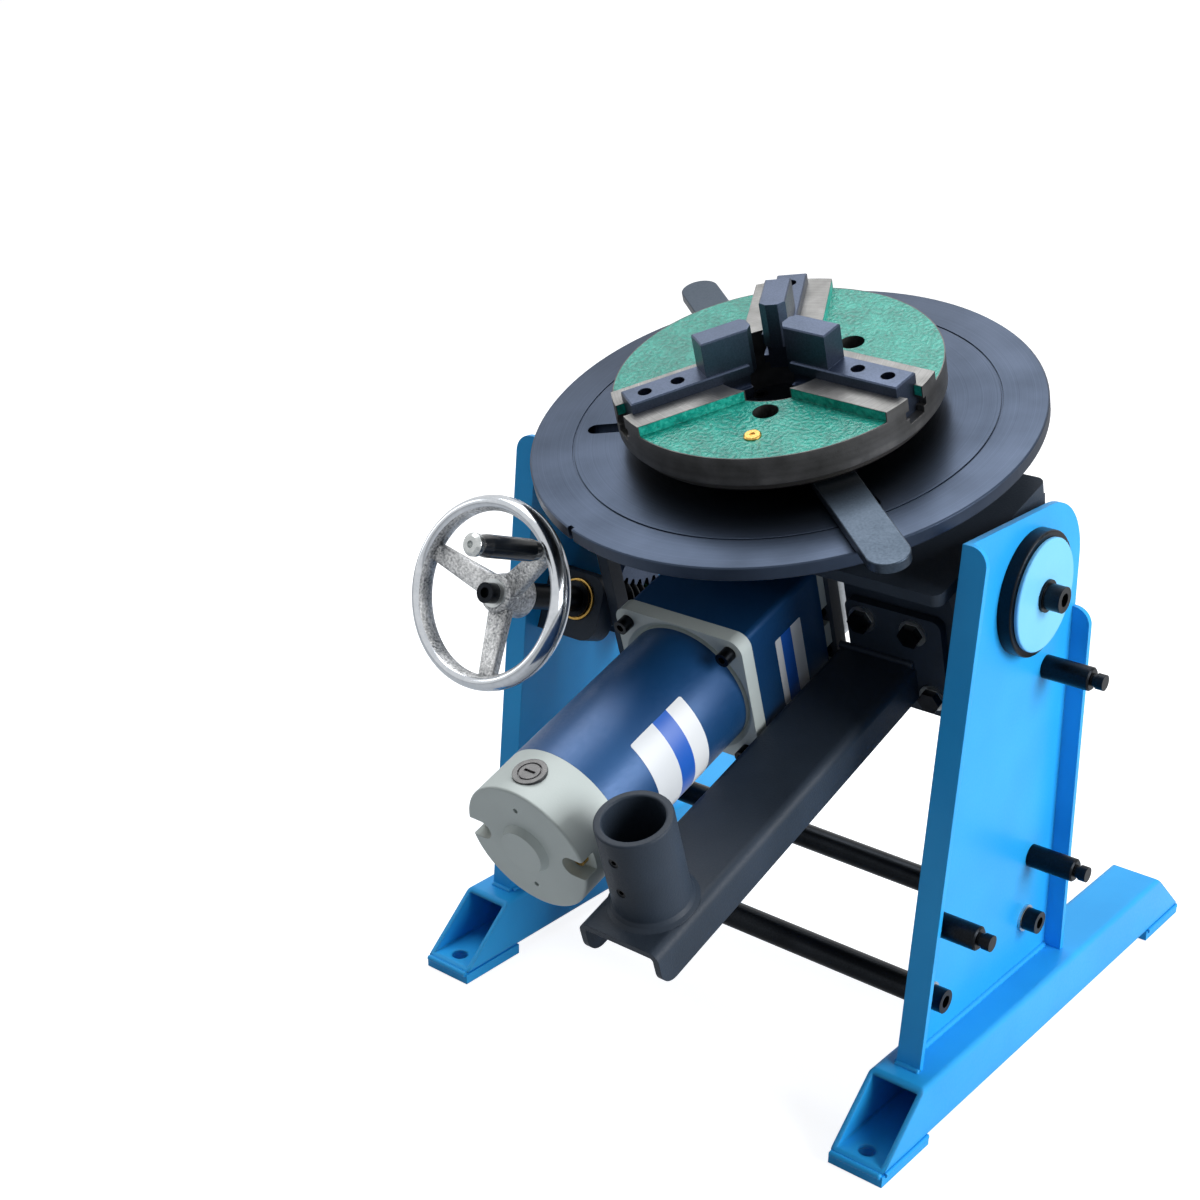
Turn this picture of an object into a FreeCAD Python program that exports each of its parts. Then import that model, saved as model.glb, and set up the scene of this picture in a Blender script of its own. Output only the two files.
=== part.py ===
import FreeCAD, Part
import math
import os

# Welding positioner: a steel stand carries a tilting cradle, the cradle carries a geared motor
# that turns a round table through a pair of bevel gears, and a three-jaw lever chuck sits on
# the table. A handwheel with a worm tilts the cradle. Millimetres, +Z up, +X to the right,
# -Y to the front; the origin lies on the floor, midway between the four foot bolts.

V = FreeCAD.Vector
X = V(1, 0, 0)
Y = V(0, 1, 0)
Z = V(0, 0, 1)

# ---------------------------------------------------------------- driving dimensions
RUN = 0.05          # radial clearance of a running fit
GAP = 0.3           # gap between parts of different bodies that only pass each other

# stand
WEB_X = 154.5       # inner face of each side plate
SHEET = 4.0         # side plate thickness
FLANGE = 15.9       # width of the side plate flanges, from the inner face outwards
PLATE_TOP = 366.0
PLATE_FRONT_LOW = -151.5
PLATE_FRONT_TOP = -127.5
PLATE_REAR_LOW = 34.6
PLATE_REAR_TOP = 18.9
REAR_FLANGE_TOP = 290.0
PLATE_ROUND = 46.0
BEAM_X = 145.0      # inner face of each foot beam
BEAM_W = 36.4
BEAM_H = 37.6
BEAM_L = 412.5
BEAM_RAKE = 42.6    # how far the sloped beam ends run back at the top
BEAM_WALL = 3.0
FLANGE_ROUND = 11.0
PAD_T = 7.0
PAD_L = 53.3
BOLT_Y = 193.5
FOOT_HOLE_R = 5.5
ROD_R = 8.5
ROD_FRONT_Y = -124.6
ROD_REAR_Y = -4.2
ROD_Z = 80.2
ROD_TAP = 26.0
ROD_SCREW_L = 20.0
ROD_WASHER_R = 9.0
ROD_HEAD_R = 7.5
ROD_HEAD_H = 9.5
POST_R = 7.5
POST_L = 31.0
POST_NECK_R = 4.0
POST_NECK_L = 3.0
POST_HEAD_R = 5.0
POST_HEAD_L = 5.0
POST_EDGE = 1.0
POST_PLACES = ((-13.6, 259.0), (-3.9, 125.3), (-129.0, 133.0))

# fasteners
M5_R = 2.5
M6_R = 3.0
M8_R = 4.0
M10_R = 5.0
M5_HEAD_R = 4.5
M5_HEAD_H = 5.0
M6_HEAD_R = 5.0
M6_HEAD_H = 6.0
M8_HEAD_R = 6.5
M8_HEAD_H = 8.0
M8_WASHER_R = 9.0
BOLT_FLATS = 13.0
BOLT_HEAD_H = 5.3
WASHER_T = 1.6

# pivot of the cradle
PIVOT_Y = -48.0
PIVOT_Z = 317.5
REST_LEAN = 19.0    # forward lean of the table at the front stop, degrees
PIN_R = 25.0
PIN_END = 164.5
PIN_INNER = 119.0
BUSH_R = 30.0
RING_R = 38.4
RING_FACE = 167.0
THRUST_LIP = 4.0
CAP_R = 34.5
CAP_FACE = 169.8
CAP_WASHER_R = 10.0
CAP_HEAD_R = 8.0
CAP_HEAD_H = 10.0
CAP_SCREW_HOLD = 18.0
PIN_TAP = 24.0
EDGE = 1.0          # rounded or chamfered edge of the turned parts

# cradle, in its own frame: x across, -y forwards, z along the table axis
CRADLE_X = 148.0
CHEEK_T = 10.0
CHEEK_R = 44.0
CHEEK_FRONT_IN = 20.0
CHEEK_REAR_IN = 3.0
DECK_LOW = 38.0
DECK_T = 8.0
DECK_FRONT = 78.0
DECK_REAR = 48.0
CORNER_ROUND = 6.0
GUARD_X = (-106.0, -98.0)
GUARD_W = 11.0
GUARD_LOW = -92.0
GUARD_ROUND = 4.0

# bearing housing and spindle
SEAT_R = 27.5       # outer radius of the ball bearings
BEARING_W = 13.0
BEARING_SINK = 3.0  # how far the upper bearing lies below the housing's mouth
SEAT_LIP = 3.0
RING_LAND = 2.2
SHAFT_R = 15.0
HOUSING_R = 36.0
HOUSING_LOW = 10.0
HOUSING_TOP = 56.0
HOUSING_FLANGE_R = 58.0
HOUSING_FLANGE_T = 8.0
HOUSING_FILLET = 2.0
HOUSING_SCREW_R = 48.0
SPINDLE_FLANGE_R = 45.0
SPINDLE_FLANGE_T = 10.0
SPINDLE_COLLAR = 4.0
SPINDLE_FILLET = 2.0
JOURNAL_R = 12.0
STUB_R = 8.0
NUT_H = 6.0
NUT_FLATS = 20.0
TABLE_SCREW_R = 32.0

# bevel gears: both cones meet at the crossing of the spindle and motor axes
MOTOR_Z = -27.0
BEVEL_MODULE = 2.5
GEAR_TEETH = 28
PINION_TEETH = 14
BEVEL_FACE = 12.0
BEVEL_SLACK = 0.5
PRESSURE = 20.0     # flank angle of all the teeth, degrees
DEDENDUM = 1.2      # tooth depth below the pitch line, in modules
GEAR_TOP = 8.0
GEAR_HUB_R = 20.0
GEAR_HUB_L = 7.0
GEAR_RIM_IN = 3.0
GEAR_RIM_BACK = 9.0
PINION_HUB_R = 13.0
PINION_HUB_L = 2.0
PINION_NECK_R = 11.0
PINION_REACH = 6.0
OUTPUT_R = 7.5

# gearmotor stations, measured forwards from the spindle axis
ADAPTER_REAR = 25.0
ADAPTER_T = 8.0
MOUNT_T = 10.0
STRIP_T = 6.0
BOX_L = 73.0
CAST_T = 10.0
BARREL_L = 120.0
END_L = 35.0
BOX_W = 88.0
CAST_W = 93.0
STRIP_ROUND = 3.0
BOX_ROUND = 4.0
CAST_ROUND = 9.0
BARREL_R = 42.1
DISH_W = 3.6        # hollow of the motor flange round the barrel
DISH_D = 3.0
END_ROUND = 1.5
END_HOLE_R = 1.6    # blind holes of the end cap, above and below its boss
END_HOLE_AT = 28.0
END_HOLE_D = 4.0
BOSS_R = 14.0
BOSS_L = 4.5
BOSS_FLARE = 2.0
BOLT_AT = 33.0      # long bolts of the motor, from its axis
BOLT_SEAT = 25.0    # where their heads sit, from the back of the end cap
BOLT_NOTCH_R = 6.5  # half width of the notches, which open sideways
THROUGH_HEAD_R = 4.0
THROUGH_HEAD_H = 4.0
BRUSH_R = 10.0
BRUSH_DEPTH = 8.0
BRUSH_RISE = 0.9    # how far a brush cap stands out of the casting
BRUSH_RING_R = 6.2  # turned ring on the cap's face
BRUSH_RING_W = 0.8
BRUSH_SLOT_L = 7.5
BRUSH_SLOT_W = 1.6
BRUSH_SLOT_D = 1.0
NOTCH_R = 6.5
NOTCH_IN = 5.5
NOTCH_RISES = (-23.0, 6.0)
CORNER_SCREW = 37.5     # the flange screws stand on a square of twice this size
CORNER_DEPTH = 8.0
CORNER_HEAD_H = 8.0
PLATE_HALF = 47.0   # half width of the mount and adapter plates
PLATE_LOW = -62.0
MOUNT_ROUND = 4.0
ADAPTER_LOW = -50.0
ADAPTER_ROUND = 10.0
GEAR_ROOM = 37.0    # radius cleared round the bevel gear and the bearing housing
PINION_ROOM = 22.0

# torch arm
ARM_X = 75.0
ARM_W = 54.0
ARM_T = 4.0
ARM_TOP = -44.5
ARM_DEPTH = 25.0
ARM_END = 306.0
ARM_BEND = 6.0
ARM_EAR_ROUND = 11.0
END_PLATE_FRONT = 41.0
END_PLATE_T = 6.0
END_PLATE_X = (56.0, 122.0)
END_PLATE_Z = (-80.0, -7.0)
HANGER_T = 10.0
HANGER_X = (53.0, 130.0)
HANGER_LOW = -82.0
SOCKET_R = 22.0
SOCKET_BORE = 17.25
SOCKET_AT = 273.0
SOCKET_L = 60.0
SOCKET_EDGE = 1.2
SOCKET_WELD = 4.0
GRUB_SINK = 0.5     # how far the clamping screws lie inside the socket's wall
GRUB_KEY_R = 1.5
GRUB_KEY_D = 2.0
SOCKET_SCREW_Z = (24.0, 46.0)       # heights of the clamping screws above the arm
ARM_BOLTS = ((68.0, -19.0), (103.0, -19.0), (112.0, -66.0))

# turntable
TABLE_R = 157.5
TABLE_LOW = 77.5
TABLE_T = 9.1
TABLE_EDGE = 0.8
GROOVE_R = 130.2
GROOVE_W = 1.2
GROOVE_D = 0.8
SLOT_W = 10.5
SLOT_IN = 70.0
SLOT_OUT = 123.0
SLOT_TURN = 31.9    # direction of the first slot, degrees from +x towards the front
RIM_NOTCH_TURN = 108.6
RIM_NOTCH_W = 4.0
RIM_NOTCH_D = 2.5

# chuck, heights above the table face
CHUCK_R = 99.7
CHUCK_LOW = 15.1
CHUCK_TOP = 33.1
RAIL_TOP = 39.5
RAIL_HALF = 24.3
CHUCK_BORE = 38.0
CHUCK_HUB_R = 58.0
CHUCK_TURN = 3.5    # direction of the first jaw
CHUCK_HOLE_R = 7.75
CHUCK_HOLE_WALL = 0.75
CHUCK_HOLE_AT = CHUCK_HUB_R - CHUCK_HOLE_R - CHUCK_HOLE_WALL
SNAP_T = 1.6
SNAP_IN = 2.0       # depth of the snap ring's groove in the hub
SNAP_OUT = 3.0      # how far the ring stands out of the hub
SNAP_LOW = 2.0      # its lower face, below the scroll
SNAP_MOUTH = 8.0
NIPPLE_AT = 75.9
NIPPLE_TURN = 63.0  # from the first jaw
NIPPLE_R = 5.2
NIPPLE_H = 1.6
CHUCK_SCREW_SEAT = 13.0
SCROLL_R = 96.0
SCROLL_SEAT_R = 89.5
SCROLL_FACE = 19.0
THREAD_H = 3.4
SCROLL_PITCH = 10.0
SCROLL_RIB = 4.0
SCROLL_EDGE = 2.0
SCROLL_INSET = 1.5  # between the hub and the first turn of the thread
SCROLL_OUTSET = 0.5 # between the last turn and the seat in the body
SCROLL_START = CHUCK_HUB_R + SCROLL_INSET + SCROLL_RIB / 2
SCROLL_TURNS = (SCROLL_SEAT_R - SCROLL_OUTSET - SCROLL_RIB / 2 - SCROLL_START) / SCROLL_PITCH
HANDLE_TURN = 37.8
HANDLE_LOW = 2.3    # clears a 2 mm sheet lying on the table
HANDLE_T = 6.0
SCROLL_LOW = HANDLE_LOW + HANDLE_T
HANDLE_W = 25.0
HANDLE_END = 188.0
HANDLE_EDGE = 0.8
HANDLE_START = CHUCK_HUB_R + 2 * SNAP_OUT
JAW_NECK = 14.0
JAW_WING = 20.0
JAW_WING_LOW = 26.5
JAW_WING_T = 5.0
JAW_BASE_TOP = 46.4
JAW_BASE_W = 19.0
JAW_IN = 13.0
JAW_BASE_IN = 19.0
JAW_OUT = 94.0
JAW_EDGE = 0.8
JAW_HOLES = (61.2, 82.0)
JAW_HOLE_R = 4.2
JAW_HOLE_D = 5.0
JAW_BLOCK_W = 16.0
JAW_BLOCK_OUT = 46.0
JAW_BLOCK_TOP = 68.4
JAW_IN_TRAVEL = 7.5     # travel from the position shown, towards the centre
JAW_OUT_TRAVEL = 6.0
JAW_TOOTH_HALF = 1.7
JAW_TOOTH_W = 10.0

# worm drive, in its own frame: -y towards the handwheel, z towards the pivot
WORM_X = -127.0
WORM_RISE = 18.2
WORM_MODULE = 2.5
SECTOR_TEETH = 50
WORM_PITCH_R = 14.5
SECTOR_W = 16.0
SECTOR_HUB_R = 38.0
SECTOR_INNER_R = 34.0
SECTOR_SPARE = 15.0     # teeth beyond each end of the tilt, degrees
TILT_RANGE = 109.0
SECTOR_SCREW_R = 31.5
WORM_SLACK = 0.8
TOOTH_SKEW = 1      # the sector's teeth lean with the worm's right-hand lead
WORM_HALF = 17.0
WORM_RUNOUT = 3.5
WORM_SHAFT_R = 8.5
WORM_COLLAR = 3.0
OUTER_COLLAR_R = 12.0
WORM_TAIL = 4.0
WORM_TAP = 24.0
BLOCK_NEAR = 31.0
BLOCK_T = 16.0
BLOCK_UP = 18.0
BLOCK_DOWN = 26.0
BLOCK_SIDE = 20.0
BLOCK_ROUND = 12.0
BLOCK_SCREW_IN = 6.0
BLOCK_SCREW_DEPTH = 8.0
BUSHING_R = 14.0
BUSHING_LIP = 2.0
BUSHING_CUP_R = 12.4    # recess in the lip, round the shaft's outer collar
BUSHING_EDGE = 0.8

# handwheel
WHEEL_R = 61.0
WHEEL_AT = 144.7    # front of the rim, from the middle of the worm
RIM_DEPTH = 16.0
RIM_W = 10.0
RIM_GROOVE_AT = 8.0 # turned groove between the rim's round front and its rear band
RIM_GROOVE_W = 1.0
RIM_GROOVE_D = 0.6
HUB_R = 13.0
HUB_TAPER = 3.0
HUB_FRONT = 13.0    # how far the hub face lies behind the front of the rim
HUB_L = 24.0
HUB_SEAT = 2.0      # seat of the washer, in front of the shaft's end
HUB_SCREW_HOLD = 18.0
SPOKE_TURN = 43.0
SPOKE_BROAD = 16.0
SPOKE_THIN = 10.0
SPOKE_T = 8.0
SPOKE_SET = 4.0     # how far a spoke's face lies behind the front of rim and hub
GRIP_AT = 51.0
GRIP_BOSS_R = 6.0
GRIP_BOSS_L = 13.0
GRIP_R = 7.0
GRIP_L = 56.0
GRIP_BORE = 4.0
GRIP_CROWN = 8.0
GRIP_CAP_T = 5.0
GRIP_KEY_R = 2.2

# ---------------------------------------------------------------- derived places
TOP = TABLE_LOW + TABLE_T
BEAM_TOP = PAD_T + BEAM_H
DECK_TOP = DECK_LOW + DECK_T
MOUNT_REAR = ADAPTER_REAR + ADAPTER_T
STRIP_REAR = MOUNT_REAR + MOUNT_T
BOX_REAR = STRIP_REAR + STRIP_T
CAST_REAR = BOX_REAR + BOX_L
BARREL_REAR = CAST_REAR + CAST_T
END_REAR = BARREL_REAR + BARREL_L
END_FACE = END_REAR + END_L
SECTOR_R = WORM_MODULE * SECTOR_TEETH / 2
SECTOR_DEPTH = WORM_X + SECTOR_W / 2 + CRADLE_X - CHEEK_T
WORM_DISTANCE = SECTOR_R + WORM_PITCH_R
WORM_LEAD = math.pi * WORM_MODULE


# ---------------------------------------------------------------- small tools
def box(x0, x1, y0, y1, z0, z1):
    return Part.makeBox(x1 - x0, y1 - y0, z1 - z0, V(x0, y0, z0))


def rod(radius, length, at, along):
    return Part.makeCylinder(radius, length, at, along)


def ring(outer, inner, length, at, along):
    return rod(outer, length, at, along).cut(rod(inner, length, at, along))


def prism(points, push):
    """Solid from a closed outline of points, pushed along a vector."""
    outline = [V(*p) for p in points]
    return Part.Face(Part.makePolygon(outline + [outline[0]])).extrude(push)


def turned(profile, at=V(0, 0, 0), along=Z):
    """Solid of revolution about z from (radius, height) points, then laid along an axis."""
    outline = [V(r, 0, h) for r, h in profile]
    solid = Part.Face(Part.makePolygon(outline + [outline[0]])).revolve(V(0, 0, 0), Z, 360)
    turn = FreeCAD.Rotation(Z, along)
    solid.Placement = FreeCAD.Placement(at, turn)
    return solid


def fused(shapes):
    """One solid from several that meet."""
    whole = shapes[0].multiFuse(list(shapes[1:])).removeSplitter()
    return whole.Solids[0] if len(whole.Solids) == 1 else whole


def round_edges(solid, radius, chosen):
    """Rounds the edges that the function chosen accepts."""
    edges = [edge for edge in solid.Edges if chosen(edge)]
    return solid.makeFillet(radius, edges)


def runs_along(edge, direction):
    if len(edge.Vertexes) < 2:
        return False
    step = edge.Vertexes[1].Point - edge.Vertexes[0].Point
    return step.Length > 0.01 and step.cross(direction).Length < 1e-6 * step.Length


def drilled(shape, places, radius, depth, along):
    """The shape with a round hole from each place."""
    for at in places:
        shape = shape.cut(rod(radius, depth, at, along))
    return shape


def circle_places(count, radius, height):
    """Points evenly round the table axis, the first 30 degrees from +x."""
    return [V(radius * math.cos(a), radius * math.sin(a), height)
            for a in (math.radians(30 + 360 / count * k) for k in range(count))]


def moved(shape, step):
    copy = shape.copy()
    copy.translate(step)
    return copy


def turned_about(shape, at, axis, angle):
    copy = shape.copy()
    copy.rotate(at, axis, angle)
    return copy


def mirrored(shape):
    """The same part on the other side of the machine."""
    return shape.mirror(V(0, 0, 0), X)


def cradle_place(shape):
    """From the cradle's frame to the machine's frame at rest."""
    copy = shape.copy()
    copy.rotate(V(0, 0, 0), X, REST_LEAN)
    copy.translate(V(0, PIVOT_Y, PIVOT_Z))
    return copy


def worm_place(shape):
    """From the worm's frame to the machine's frame."""
    rise = math.radians(WORM_RISE)
    up = V(0, math.sin(rise), math.cos(rise))
    copy = shape.copy()
    copy.rotate(V(0, 0, 0), X, -WORM_RISE)
    copy.translate(V(WORM_X, PIVOT_Y, PIVOT_Z) - up * WORM_DISTANCE)
    return copy


def cap_screw(thread_r, head_r, head_h, length, at, along):
    """Socket head screw: the underside of the head is at 'at', the head stands along 'along'."""
    head = rod(head_r, head_h, at, along)
    socket = rod(head_r * 0.52, head_h * 0.55, at + along * (head_h * 0.45), along)
    shank = rod(thread_r, length, at, along * -1)
    return fused([head.cut(socket), shank])


def hex_prism(flats, height, at, along):
    corner = flats / math.sqrt(3)
    points = [V(corner * math.cos(a), corner * math.sin(a), 0)
              for a in (math.radians(60 * k) for k in range(6))]
    head = Part.Face(Part.makePolygon(points + [points[0]])).extrude(Z * height)
    head.Placement = FreeCAD.Placement(at, FreeCAD.Rotation(Z, along))
    return head


def hex_bolt(thread_r, flats, head_h, length, at, along):
    """Hexagon head bolt, the underside of the head at 'at'."""
    head = hex_prism(flats, head_h, at, along)
    return fused([head, rod(thread_r, length, at, along * -1)])


nodes = {}


def keep(name, shapes):
    """Files one or more solids under a node's name."""
    shapes = shapes if isinstance(shapes, list) else [shapes]
    nodes[name] = shapes


# ---------------------------------------------------------------- stand
def foot_beam():
    """Right foot: rectangular tube with sloped open ends."""
    half = BEAM_L / 2
    outline = [(BEAM_X, -half, PAD_T), (BEAM_X, half, PAD_T),
               (BEAM_X, half - BEAM_RAKE, BEAM_TOP), (BEAM_X, -half + BEAM_RAKE, BEAM_TOP)]
    tube = prism(outline, X * BEAM_W)
    tube = round_edges(tube, BEAM_WALL, lambda e: runs_along(e, Y))
    hollow = box(BEAM_X + BEAM_WALL, BEAM_X + BEAM_W - BEAM_WALL, -half - 1, half + 1,
                 PAD_T + BEAM_WALL, BEAM_TOP - BEAM_WALL)
    tube = tube.cut(hollow)
    for side in (-1, 1):
        at = V(BEAM_X + BEAM_W / 2, side * BOLT_Y, 0)
        tube = tube.cut(rod(FOOT_HOLE_R, BEAM_TOP, at, Z))
    return tube


def foot_pad(side):
    """Steel pad welded under one end of the right foot."""
    end = side * BEAM_L / 2
    y0 = min(end, end - side * PAD_L)
    pad = box(BEAM_X, BEAM_X + BEAM_W, y0, y0 + PAD_L, 0, PAD_T)
    at = V(BEAM_X + BEAM_W / 2, side * BOLT_Y, 0)
    return pad.cut(rod(FOOT_HOLE_R, PAD_T, at, Z))


def front_edge(z):
    share = (z - BEAM_TOP) / (PLATE_TOP - BEAM_TOP)
    return PLATE_FRONT_LOW + share * (PLATE_FRONT_TOP - PLATE_FRONT_LOW)


def rear_edge(z):
    share = (z - BEAM_TOP) / (REAR_FLANGE_TOP - BEAM_TOP)
    return PLATE_REAR_LOW + share * (PLATE_REAR_TOP - PLATE_REAR_LOW)


def side_plate():
    """Right side plate: a web with both upright edges bent outwards."""
    outline = [(WEB_X, PLATE_FRONT_LOW, BEAM_TOP), (WEB_X, PLATE_REAR_LOW, BEAM_TOP),
               (WEB_X, rear_edge(PLATE_TOP), PLATE_TOP), (WEB_X, PLATE_FRONT_TOP, PLATE_TOP)]
    web = prism(outline, X * SHEET)

    def rear_corner(edge):
        mid = edge.CenterOfMass
        return runs_along(edge, X) and mid.y > 0 and mid.z > PLATE_TOP - 1

    web = round_edges(web, PLATE_ROUND, rear_corner)

    def flange(edge_y, top, inward):
        low = edge_y(BEAM_TOP)
        high = edge_y(top)
        shape = prism([(WEB_X, low, BEAM_TOP), (WEB_X + FLANGE, low, BEAM_TOP),
                       (WEB_X + FLANGE, high, top), (WEB_X, high, top)], Y * (inward * SHEET))
        return round_edges(shape, FLANGE_ROUND, lambda e: e.CenterOfMass.z > top - 0.01
                           and e.CenterOfMass.x > WEB_X + FLANGE - 0.01)

    front = flange(front_edge, PLATE_TOP, 1)
    rear = flange(rear_edge, REAR_FLANGE_TOP, -1)
    plate = fused([web, front, rear])
    outside = V(WEB_X - 1, PIVOT_Y, PIVOT_Z)
    plate = plate.cut(rod(BUSH_R, SHEET + 2, outside, X))
    for y in (ROD_FRONT_Y, ROD_REAR_Y):
        plate = plate.cut(rod(M10_R, SHEET + 2, V(WEB_X - 1, y, ROD_Z), X))
    return plate


def tie_rod(y):
    """Cross bar between the side plates, tapped at both ends."""
    bar = rod(ROD_R, 2 * WEB_X, V(-WEB_X, y, ROD_Z), X)
    for side in (-1, 1):
        bar = bar.cut(rod(M10_R, ROD_TAP, V(side * WEB_X, y, ROD_Z), X * -side))
    return bar


def rod_fasteners():
    """Washers and M10 socket screws that hold the cross bars."""
    found = []
    for y in (ROD_FRONT_Y, ROD_REAR_Y):
        at = V(WEB_X + SHEET, y, ROD_Z)
        washer = ring(ROD_WASHER_R, M10_R, WASHER_T, at, X)
        screw = cap_screw(M10_R, ROD_HEAD_R, ROD_HEAD_H, SHEET + WASHER_T + ROD_SCREW_L,
                          at + X * WASHER_T, X)
        found += [washer, screw, mirrored(washer), mirrored(screw)]
    return found


def hanger_post(y, z):
    """Turned post with a necked head, to hang a control box on."""
    neck_end = POST_L + POST_NECK_L
    end = neck_end + POST_HEAD_L
    return turned([(0, 0), (POST_R, 0), (POST_R, POST_L - POST_EDGE), (POST_R - POST_EDGE, POST_L),
                   (POST_NECK_R, POST_L), (POST_NECK_R, neck_end), (POST_HEAD_R, neck_end),
                   (POST_HEAD_R, end), (0, end)], V(WEB_X + SHEET, y, z), X)


def pivot_bush():
    """Right pivot bush: a sleeve in the web with a broad outer ring."""
    sleeve = ring(BUSH_R, PIN_R + RUN, RING_FACE - WEB_X, V(WEB_X, PIVOT_Y, PIVOT_Z), X)
    flange = ring(RING_R, PIN_R + RUN, RING_FACE - WEB_X - SHEET,
                  V(WEB_X + SHEET, PIVOT_Y, PIVOT_Z), X)
    bush = fused([sleeve, flange])
    return round_edges(bush, EDGE, lambda e: abs(e.Length - 2 * math.pi * RING_R) < 0.1
                       and e.CenterOfMass.x > RING_FACE - 0.1)


def thrust_washer():
    """Side washer between cheek and web."""
    start = CRADLE_X + RUN
    return ring(BUSH_R + THRUST_LIP, PIN_R + RUN, WEB_X - start, V(start, PIVOT_Y, PIVOT_Z), X)


def worm_block(side):
    """Bearing block of the worm shaft, screwed to the left web; side -1 is the front one."""
    y0 = side * BLOCK_NEAR
    y1 = side * (BLOCK_NEAR + BLOCK_T)
    web = -WEB_X - WORM_X
    block = box(web, BLOCK_SIDE, min(y0, y1), max(y0, y1), -BLOCK_DOWN, BLOCK_UP)
    block = round_edges(block, BLOCK_ROUND, lambda e: runs_along(e, Y) and e.CenterOfMass.x > 0)
    block = block.cut(rod(BUSHING_R, 2 * BLOCK_T, V(0, y0 - side, 0), Y * side))
    return drilled(block, block_screw_places(), M6_R, SHEET + BLOCK_SCREW_DEPTH, X)


def worm_bushing(side):
    """Brass bush in a bearing block, with a lip on its outer end."""
    start = V(0, side * BLOCK_NEAR, 0)
    sleeve = ring(BUSHING_R, WORM_SHAFT_R + RUN, BLOCK_T + BUSHING_LIP, start, Y * side)
    sleeve = sleeve.cut(rod(BUSHING_CUP_R, BUSHING_LIP, start + Y * (side * BLOCK_T), Y * side))
    return round_edges(sleeve, BUSHING_EDGE, lambda e: abs(e.Length - 2 * math.pi * BUSHING_R) < 0.1
                       and abs(e.CenterOfMass.y) > BLOCK_NEAR + BLOCK_T)


def block_screw_places():
    """Where the bearing blocks' screws sit on the outside of the left web, worm's frame."""
    return [V(-WEB_X - SHEET - WORM_X, side * (BLOCK_NEAR + BLOCK_T / 2), z)
            for side in (-1, 1) for z in (BLOCK_SCREW_IN - BLOCK_DOWN, BLOCK_UP - BLOCK_SCREW_IN)]


def block_screws():
    """Screws through the left web into the bearing blocks."""
    return [cap_screw(M6_R, M6_HEAD_R, M6_HEAD_H, SHEET + BLOCK_SCREW_DEPTH, at, X * -1)
            for at in block_screw_places()]


def left_side_plate():
    """Left side plate, with the holes of the bearing blocks."""
    plate = mirrored(side_plate())
    for at in block_screw_places():
        plate = plate.cut(worm_place(rod(M6_R, SHEET, at, X)))
    return plate


# ---------------------------------------------------------------- cradle
def deck():
    """Top plate of the cradle."""
    plate = box(-CRADLE_X, CRADLE_X, -DECK_FRONT, DECK_REAR, DECK_LOW, DECK_TOP)
    plate = round_edges(plate, CORNER_ROUND, lambda e: runs_along(e, Z))
    plate = plate.cut(rod(HOUSING_R, DECK_T, V(0, 0, DECK_LOW), Z))
    return drilled(plate, circle_places(6, HOUSING_SCREW_R, DECK_TOP), M6_R, DECK_T, Z * -1)


def cheek():
    """Right cheek, welded under the deck, with a round boss at the pivot."""
    x0 = CRADLE_X - CHEEK_T
    half = CHEEK_R * math.cos(math.radians(30))
    body = prism([(x0, CHEEK_FRONT_IN - DECK_FRONT, DECK_LOW), (x0, DECK_REAR - CHEEK_REAR_IN, DECK_LOW),
                  (x0, half, -CHEEK_R / 2), (x0, -half, -CHEEK_R / 2)], X * CHEEK_T)
    boss = rod(CHEEK_R, CHEEK_T, V(x0, 0, 0), X)
    boss = boss.common(box(x0, CRADLE_X, -CHEEK_R, CHEEK_R, -CHEEK_R, DECK_LOW))
    whole = fused([body, boss])
    return whole.cut(rod(PIN_R, CHEEK_T, V(x0, 0, 0), X))


def left_cheek():
    """Left cheek, tapped for the screws of the worm sector."""
    return drilled(mirrored(cheek()), sector_screw_places(), M6_R, CHEEK_T + SECTOR_DEPTH, X * -1)


def trunnion_pin():
    """Right pivot pin, tapped for the cap screw."""
    pin = rod(PIN_R, PIN_END - PIN_INNER, V(PIN_INNER, 0, 0), X)
    pin = pin.makeChamfer(EDGE, [e for e in pin.Edges if e.Length > 2 * math.pi * PIN_R - 1
                                and e.CenterOfMass.x < PIN_INNER + 0.1])
    return pin.cut(rod(M10_R, PIN_TAP, V(PIN_END, 0, 0), X * -1))


def cap_disc():
    """Painted cap over the pivot ring, seated on the end of the pin."""
    back = RING_FACE + GAP
    disc = ring(CAP_R, M10_R, CAP_FACE - back, V(back, 0, 0), X)
    spigot = ring(PIN_R - EDGE, M10_R, back - PIN_END, V(PIN_END, 0, 0), X)
    cap = fused([disc, spigot])
    return round_edges(cap, EDGE, lambda e: abs(e.Length - 2 * math.pi * CAP_R) < 0.1
                       and e.CenterOfMass.x > CAP_FACE - 0.1)


def cap_fasteners():
    """Washer and M10 screw in the middle of each cap."""
    at = V(CAP_FACE, 0, 0)
    washer = ring(CAP_WASHER_R, M10_R, WASHER_T, at, X)
    shank = WASHER_T + CAP_FACE - PIN_END + CAP_SCREW_HOLD
    screw = cap_screw(M10_R, CAP_HEAD_R, CAP_HEAD_H, shank, at + X * WASHER_T, X)
    return [washer, screw, mirrored(washer), mirrored(screw)]


# ---------------------------------------------------------------- worm and sector
def rack_half(height, pitch, slack):
    """Half thickness of a worm thread at a height above its pitch line, 20 degree flanks."""
    return pitch / 4 - slack / 2 - height * math.tan(math.radians(PRESSURE))


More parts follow.
